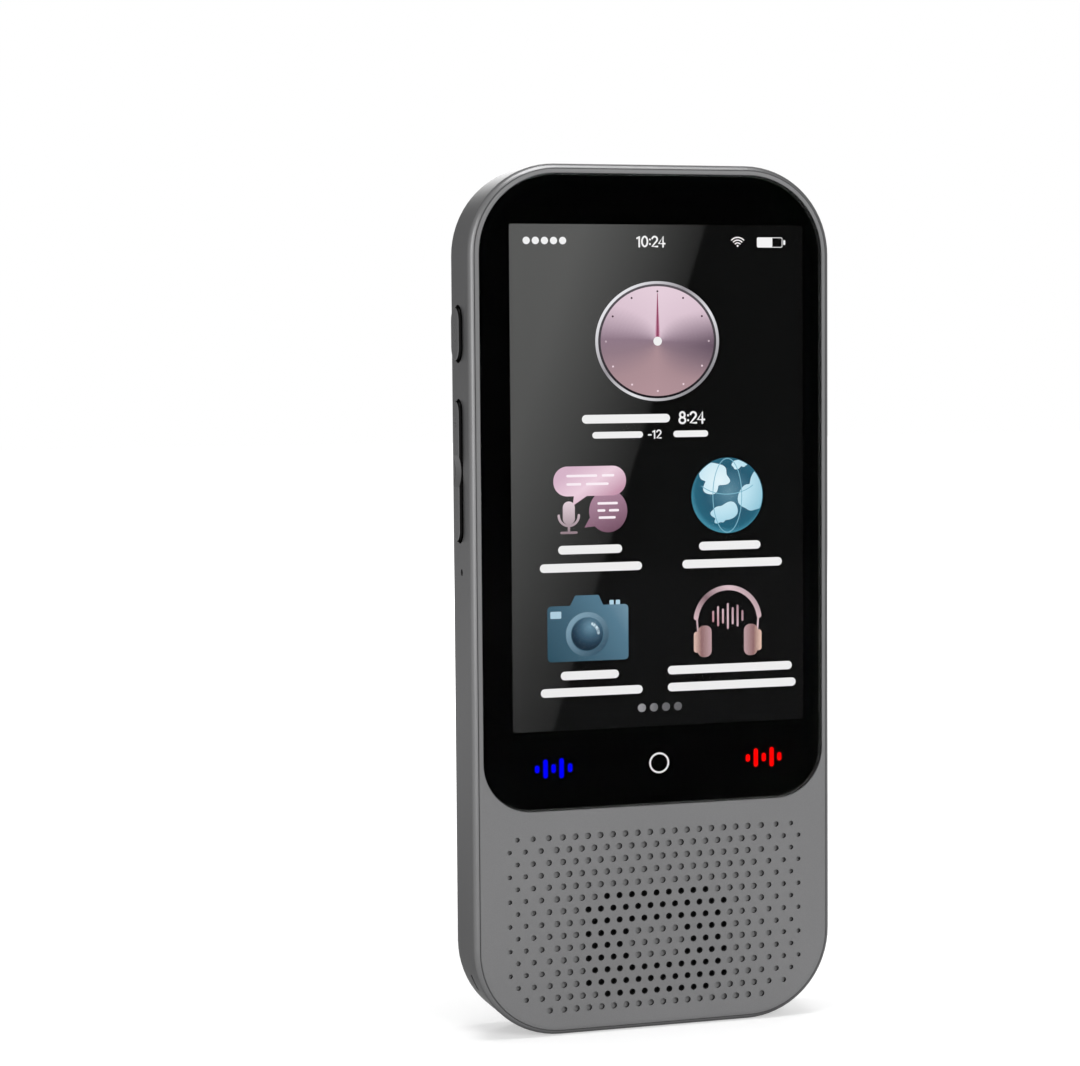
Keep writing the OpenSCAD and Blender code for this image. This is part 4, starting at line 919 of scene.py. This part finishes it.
def keyFinish(name, colour, height, long, wide, cap):
    # a coloured key under a grey cap: outside the cap's pill shape, by distance from the key's
    # middle line in y and z, the colour shows
    made = satinPaint(name, dict(frameMetal, colour=cap))
    past = (abs(made.z - height) - (long - wide) / 2).most(0.0)
    aside = made.y - keyMiddle
    capped = 1 - (past * past + aside * aside).root().fade(wide / 2 - 0.27, wide / 2 - 0.21)
    grain = made.noise(0.2, 2.0)
    made.set(base=made.blend(made.toned(colour, 0.85, 1.0, grain), painted(made), capped))
    return made


def boardFinish(name, patch, pad, mask, track):
    # solder mask: fine parallel tracks that change direction from cell to cell, and round pads
    made = Finish(name, rough=0.35, gloss=0.5, coat=0.3, coatRough=0.15)
    turned = made.cells(patch)
    tracks = (made.x + made.z * 0.5 + turned * 6.0).wave(0.6).fade(0.2, 0.5)
    pads = 1 - made.cells(pad).fade(0.12, 0.16)
    made.set(base=made.blend(made.blend(mask, track, tracks), (0.75, 0.6, 0.3), pads),
             normal=made.bump(tracks, 0.01), metal=pads * 0.9)
    return made


def stripeFilm(name, across, pitch, film, copper):
    # amber film with copper lines inside
    made = Finish(name, rough=0.3, coat=0.4, coatRough=0.1)
    stripe = (made.x if across == "x" else made.y).wave(pitch).fade(0.0, 0.35)
    fleck = made.noise(1.5, 2.0)
    made.set(base=made.blend(film, copper, stripe * (0.6 + fleck * 0.4)), normal=made.bump(stripe, 0.01))
    return made


def foamFinish(name, colour, pore):
    # open cells: dark pits with soft walls
    made = Finish(name, rough=0.9, gloss=0.2)
    pit = made.cells(pore).fade(0.0, 0.7)
    made.set(base=made.toned(colour, 0.4, 1.0, pit), normal=made.bump(pit, pore * 0.3))
    return made


def meshFinish(name, pitch, gap, thread):
    # plain weave: threads over and under, from the product of two sines
    made = Finish(name, rough=0.8, sheen=0.3)
    over = (made.x.wave(pitch) * made.z.wave(pitch) * 0.5 + 0.5).fade(0.2, 0.8)
    made.set(base=made.blend(gap, thread, over), normal=made.bump(over, 0.03))
    return made


def pouchFinish(name, colour):
    # aluminium laminate: broad dents, fine wrinkles towards the ends
    made = Finish(name, metal=0.85)
    dent, wrinkle = made.noise(7.0, 2.0), made.noise(0.8, 3.0, (6, 1, 1))
    made.set(base=made.toned(colour, 0.8, 1.15, dent), rough=0.38 + (wrinkle - 0.5) * 0.2,
             normal=made.bump(dent * 0.8 + wrinkle * 0.2, 0.12))
    return made


def paperFinish(name, colour):
    # fibres in a soft tape
    made = Finish(name, rough=0.7)
    fibre = made.noise(0.4, 4.0, (3, 1, 1))
    made.set(base=made.toned(colour, 0.85, 1.0, fibre), normal=made.bump(fibre, 0.02))
    return made


keyBlack, talkCap = (0.006, 0.006, 0.006), (0.11, 0.11, 0.112)
# the light colour is that of the painted highlights on the screw heads
screwLook = {
    "pitch": 0.16, "offset": 0.5, "dark": (0.02, 0.02, 0.022), "light": (0.09, 0.09, 0.1), "rough": 0.35,
    "depth": 0.003,
}
finishes = {  # node: how it is made, its material's name, then what that function asks for
    "side_frame": (satinPaint, "frame_satin", frameMetal),
    "front_fascia": (fasciaFinish, grilleLook),
    "back_cover": (satinPaint, "cover_satin", coverPaint),
    # low refraction keeps the dark screen dark
    "cover_glass": (clearGlass, "cover_glass", (1.0, 1.0, 1.0), 1.06, 0.015),
    "touch_sensor": (clearGlass, "sensor_film", (1.0, 1.0, 1.0), 1.02, 0.01),
    "camera_window": (clearGlass, "camera_window", (0.98, 0.98, 1.0), 1.05, 0.004),
    "border_print": (grainedPlastic, "border_ink", (0.0015, 0.0015, 0.0015), 0.06, 0.9, 0.001, 0.02),
    "glass_tape": (foamFinish, "tape_foam", (0.012, 0.012, 0.012), 0.12),
    "display_panel": (screenFinish, screenLook),
    "display_backlight": (brushedMetal, "tray_steel", (0.6, 0.6, 0.62), 0.12, (14, 1, 1), 0.35, 0.003),
    "display_flex": (stripeFilm, "ribbon_film", "x", 0.5, (0.45, 0.18, 0.03), (0.62, 0.3, 0.1)),
    "chassis": (brushedMetal, "chassis_sheet", (0.5, 0.5, 0.52), 0.15, (1, 1, 16), 0.42, 0.004),
    "chassis_screws": (turnedMetal, "screw_black", screwLook, (0, 70)),
    "camera_lens": (lensFinish, lensLook),
    "camera_module": (grainedPlastic, "module_black", (0.02, 0.02, 0.021), 0.12, 0.5, 0.004),
    "camera_foam": (foamFinish, "ring_foam", (0.03, 0.03, 0.03), 0.2),
    "power_button": (keyFinish, "key_power", keyBlack, keyLook["power"], 9.3, 5.2, frameMetal["colour"]),
    "volume_rocker": (keyFinish, "key_volume", keyBlack, keyLook["volume"], 23.8, 4.2, frameMetal["colour"]),
    "photo_button": (keyFinish, "key_photo", keyBlack, keyLook["photo"], 9.3, 5.2, (0.085, 0.085, 0.087)),
    "blue_talk_button": (keyFinish, "key_blue", (0.026, 0.016, 0.3), keyLook["blue"], 11.8, 4.2, talkCap),
    "red_talk_button": (keyFinish, "key_red", (0.3, 0.026, 0.022), keyLook["red"], 11.8, 4.2, talkCap),
    "left_key_board": (stripeFilm, "left_film", "y", 0.7, (0.45, 0.18, 0.03), (0.62, 0.3, 0.1)),
    "right_key_board": (stripeFilm, "right_film", "y", 0.7, (0.42, 0.17, 0.03), (0.6, 0.3, 0.1)),
    "left_key_switches": (grainedPlastic, "switch_left", (0.6, 0.59, 0.52), 0.1, 0.5, 0.003),
    "right_key_switches": (grainedPlastic, "switch_right", (0.58, 0.57, 0.5), 0.1, 0.5, 0.003),
    "microphones": (brushedMetal, "mic_gold", (0.7, 0.55, 0.25), 0.08, (8, 1, 1), 0.28, 0.002),
    "mic_boots": (foamFinish, "boot_rubber", (0.02, 0.02, 0.02), 0.06),
    "main_board": (boardFinish, "main_mask", 5.0, 2.2, (0.006, 0.06, 0.028), (0.012, 0.12, 0.055)),
    "lower_board": (boardFinish, "lower_mask", 4.0, 2.0, (0.006, 0.055, 0.026), (0.012, 0.11, 0.05)),
    "board_screws": (brushedMetal, "screw_nickel", (0.62, 0.61, 0.58), 0.06, (1, 10, 1), 0.25, 0.002),
    "shield_cans": (brushedMetal, "can_tin", (0.62, 0.62, 0.63), 0.12, (10, 1, 1), 0.33, 0.004),
    "board_chips": (grainedPlastic, "chip_resin", (0.018, 0.018, 0.02), 0.07, 0.55, 0.004),
    "board_ribbon": (stripeFilm, "link_film", "x", 0.5, (0.43, 0.17, 0.03), (0.6, 0.3, 0.1)),
    "battery": (pouchFinish, "pouch_foil", (0.55, 0.56, 0.58)),
    "battery_tape": (paperFinish, "pull_tape", (0.8, 0.8, 0.79)),
    "battery_lead": (grainedPlastic, "lead_jacket", (0.35, 0.012, 0.01), 0.08, 0.45, 0.003),
    "usb_shell": (brushedMetal, "shell_steel", (0.62, 0.62, 0.64), 0.07, (1, 1, 14), 0.24, 0.002),
    "usb_core": (grainedPlastic, "core_black", (0.015, 0.015, 0.016), 0.06, 0.5, 0.002),
    "speaker_mesh": (meshFinish, "grille_cloth", 0.34, (0.002, 0.002, 0.002), (0.022, 0.022, 0.023)),
    "speaker_gasket": (foamFinish, "gasket_foam", (0.02, 0.02, 0.02), 0.25),
    "speaker_basket": (grainedPlastic, "basket_black", (0.03, 0.03, 0.03), 0.15, 0.55, 0.005),
    "speaker_cone": (paperFinish, "cone_fibre", (0.03, 0.03, 0.032)),
    "speaker_magnet": (brushedMetal, "magnet_zinc", (0.5, 0.5, 0.53), 0.15, (6, 1, 1), 0.4, 0.005),
    "speaker_chamber": (grainedPlastic, "chamber_black", (0.025, 0.025, 0.026), 0.15, 0.55, 0.005),
    "lanyard_pin": (brushedMetal, "pin_steel", (0.66, 0.66, 0.68), 0.06, (1, 12, 1), 0.22, 0.002),
}
for nodeName, (maker, *values) in finishes.items():
    finish = maker(*values)
    for holder in cadNodes[nodeName].material_slots:
        holder.material = finish.material
print("painted", len(finishes), "nodes")

# floor, world and lamps

print("stage")
stageLook = {"floor": 6.0, "tone": 0.6, "near": 0.44, "fadeFrom": 120, "fadeTo": 420, "far": 1.0, "soft": 0.3}


def makeFloor(look):
    half = look["floor"] / 2
    mesh = bpy.data.meshes.new("floor")
    mesh.from_pydata([(-half, -half, 0), (half, -half, 0), (half, half, 0), (-half, half, 0)], [], [(0, 1, 2, 3)])
    # plain tone near the object, rising to white further out where the camera or a reflection sees it
    made = Finish("floor", base=(look["tone"],) * 3, rough=0.9, gloss=0.0)
    seen = made.node("LightPath", out="Is Camera Ray").most(made.node("LightPath", out="Is Glossy Ray"))
    away = ((made.x * made.x) + (made.y * made.y)).root().fade(look["fadeFrom"], look["fadeTo"])
    lift = seen * (away * (1.0 - look["near"]) + look["near"])
    made.set(glow=made.blend((0.0, 0.0, 0.0), (1.0, 1.0, 1.0), lift), glowPower=1.0)
    mesh.materials.append(made.material)
    added("floor", mesh)


def makeWorld(look):
    # white where the camera, a reflection or a clear piece sees it, softer as a light
    world = bpy.data.worlds.new("studio")
    world.use_nodes = True
    bpy.context.scene.world = world
    tree = world.node_tree
    back = tree.nodes["Background"]
    back.inputs["Color"].default_value = (1.0, 1.0, 1.0, 1.0)
    path = tree.nodes.new("ShaderNodeLightPath")
    seen = Signal(tree, path.outputs["Is Camera Ray"])
    seen = seen.most(Signal(tree, path.outputs["Is Glossy Ray"]))
    seen = seen.most(Signal(tree, path.outputs["Is Transmission Ray"]))
    power = seen * (look["far"] - look["soft"]) + look["soft"]
    tree.links.new(power.socket, back.inputs["Strength"])


lampAim = (0.0, 0.0, 0.075)
lamps = {
    "key": {"spot": (0.30, -0.85, 0.45), "size": (0.5, 0.5), "power": 5.0},
    "left_strip": {"spot": (-0.75, -0.22, 0.22), "size": (0.25, 0.6), "power": 1.9},
    "overhead": {"spot": (0.0, -0.05, 0.95), "size": (0.6, 0.35), "power": 5.0},
    "rear": {"spot": (0.25, 0.85, 0.5), "size": (0.5, 0.5), "power": 4.2},
}


def makeLamp(name, look):
    data = bpy.data.lights.new(name, "AREA")
    data.shape = "RECTANGLE"
    data.size, data.size_y = look["size"]
    data.energy = look["power"]
    spot = np.array(look["spot"])
    back = (spot - lampAim) / np.linalg.norm(spot - lampAim)
    right = np.cross((0, 1, 0) if abs(back[2]) > 0.95 else (0, 0, 1), back)
    right /= np.linalg.norm(right)
    turnedTo(added(name, data), (right, np.cross(back, right), back), spot)


makeFloor(stageLook)
makeWorld(stageLook)
for lampName, lampLook in lamps.items():
    makeLamp(lampName, lampLook)
bpy.context.scene.view_settings.view_transform = "Standard"

print("done")
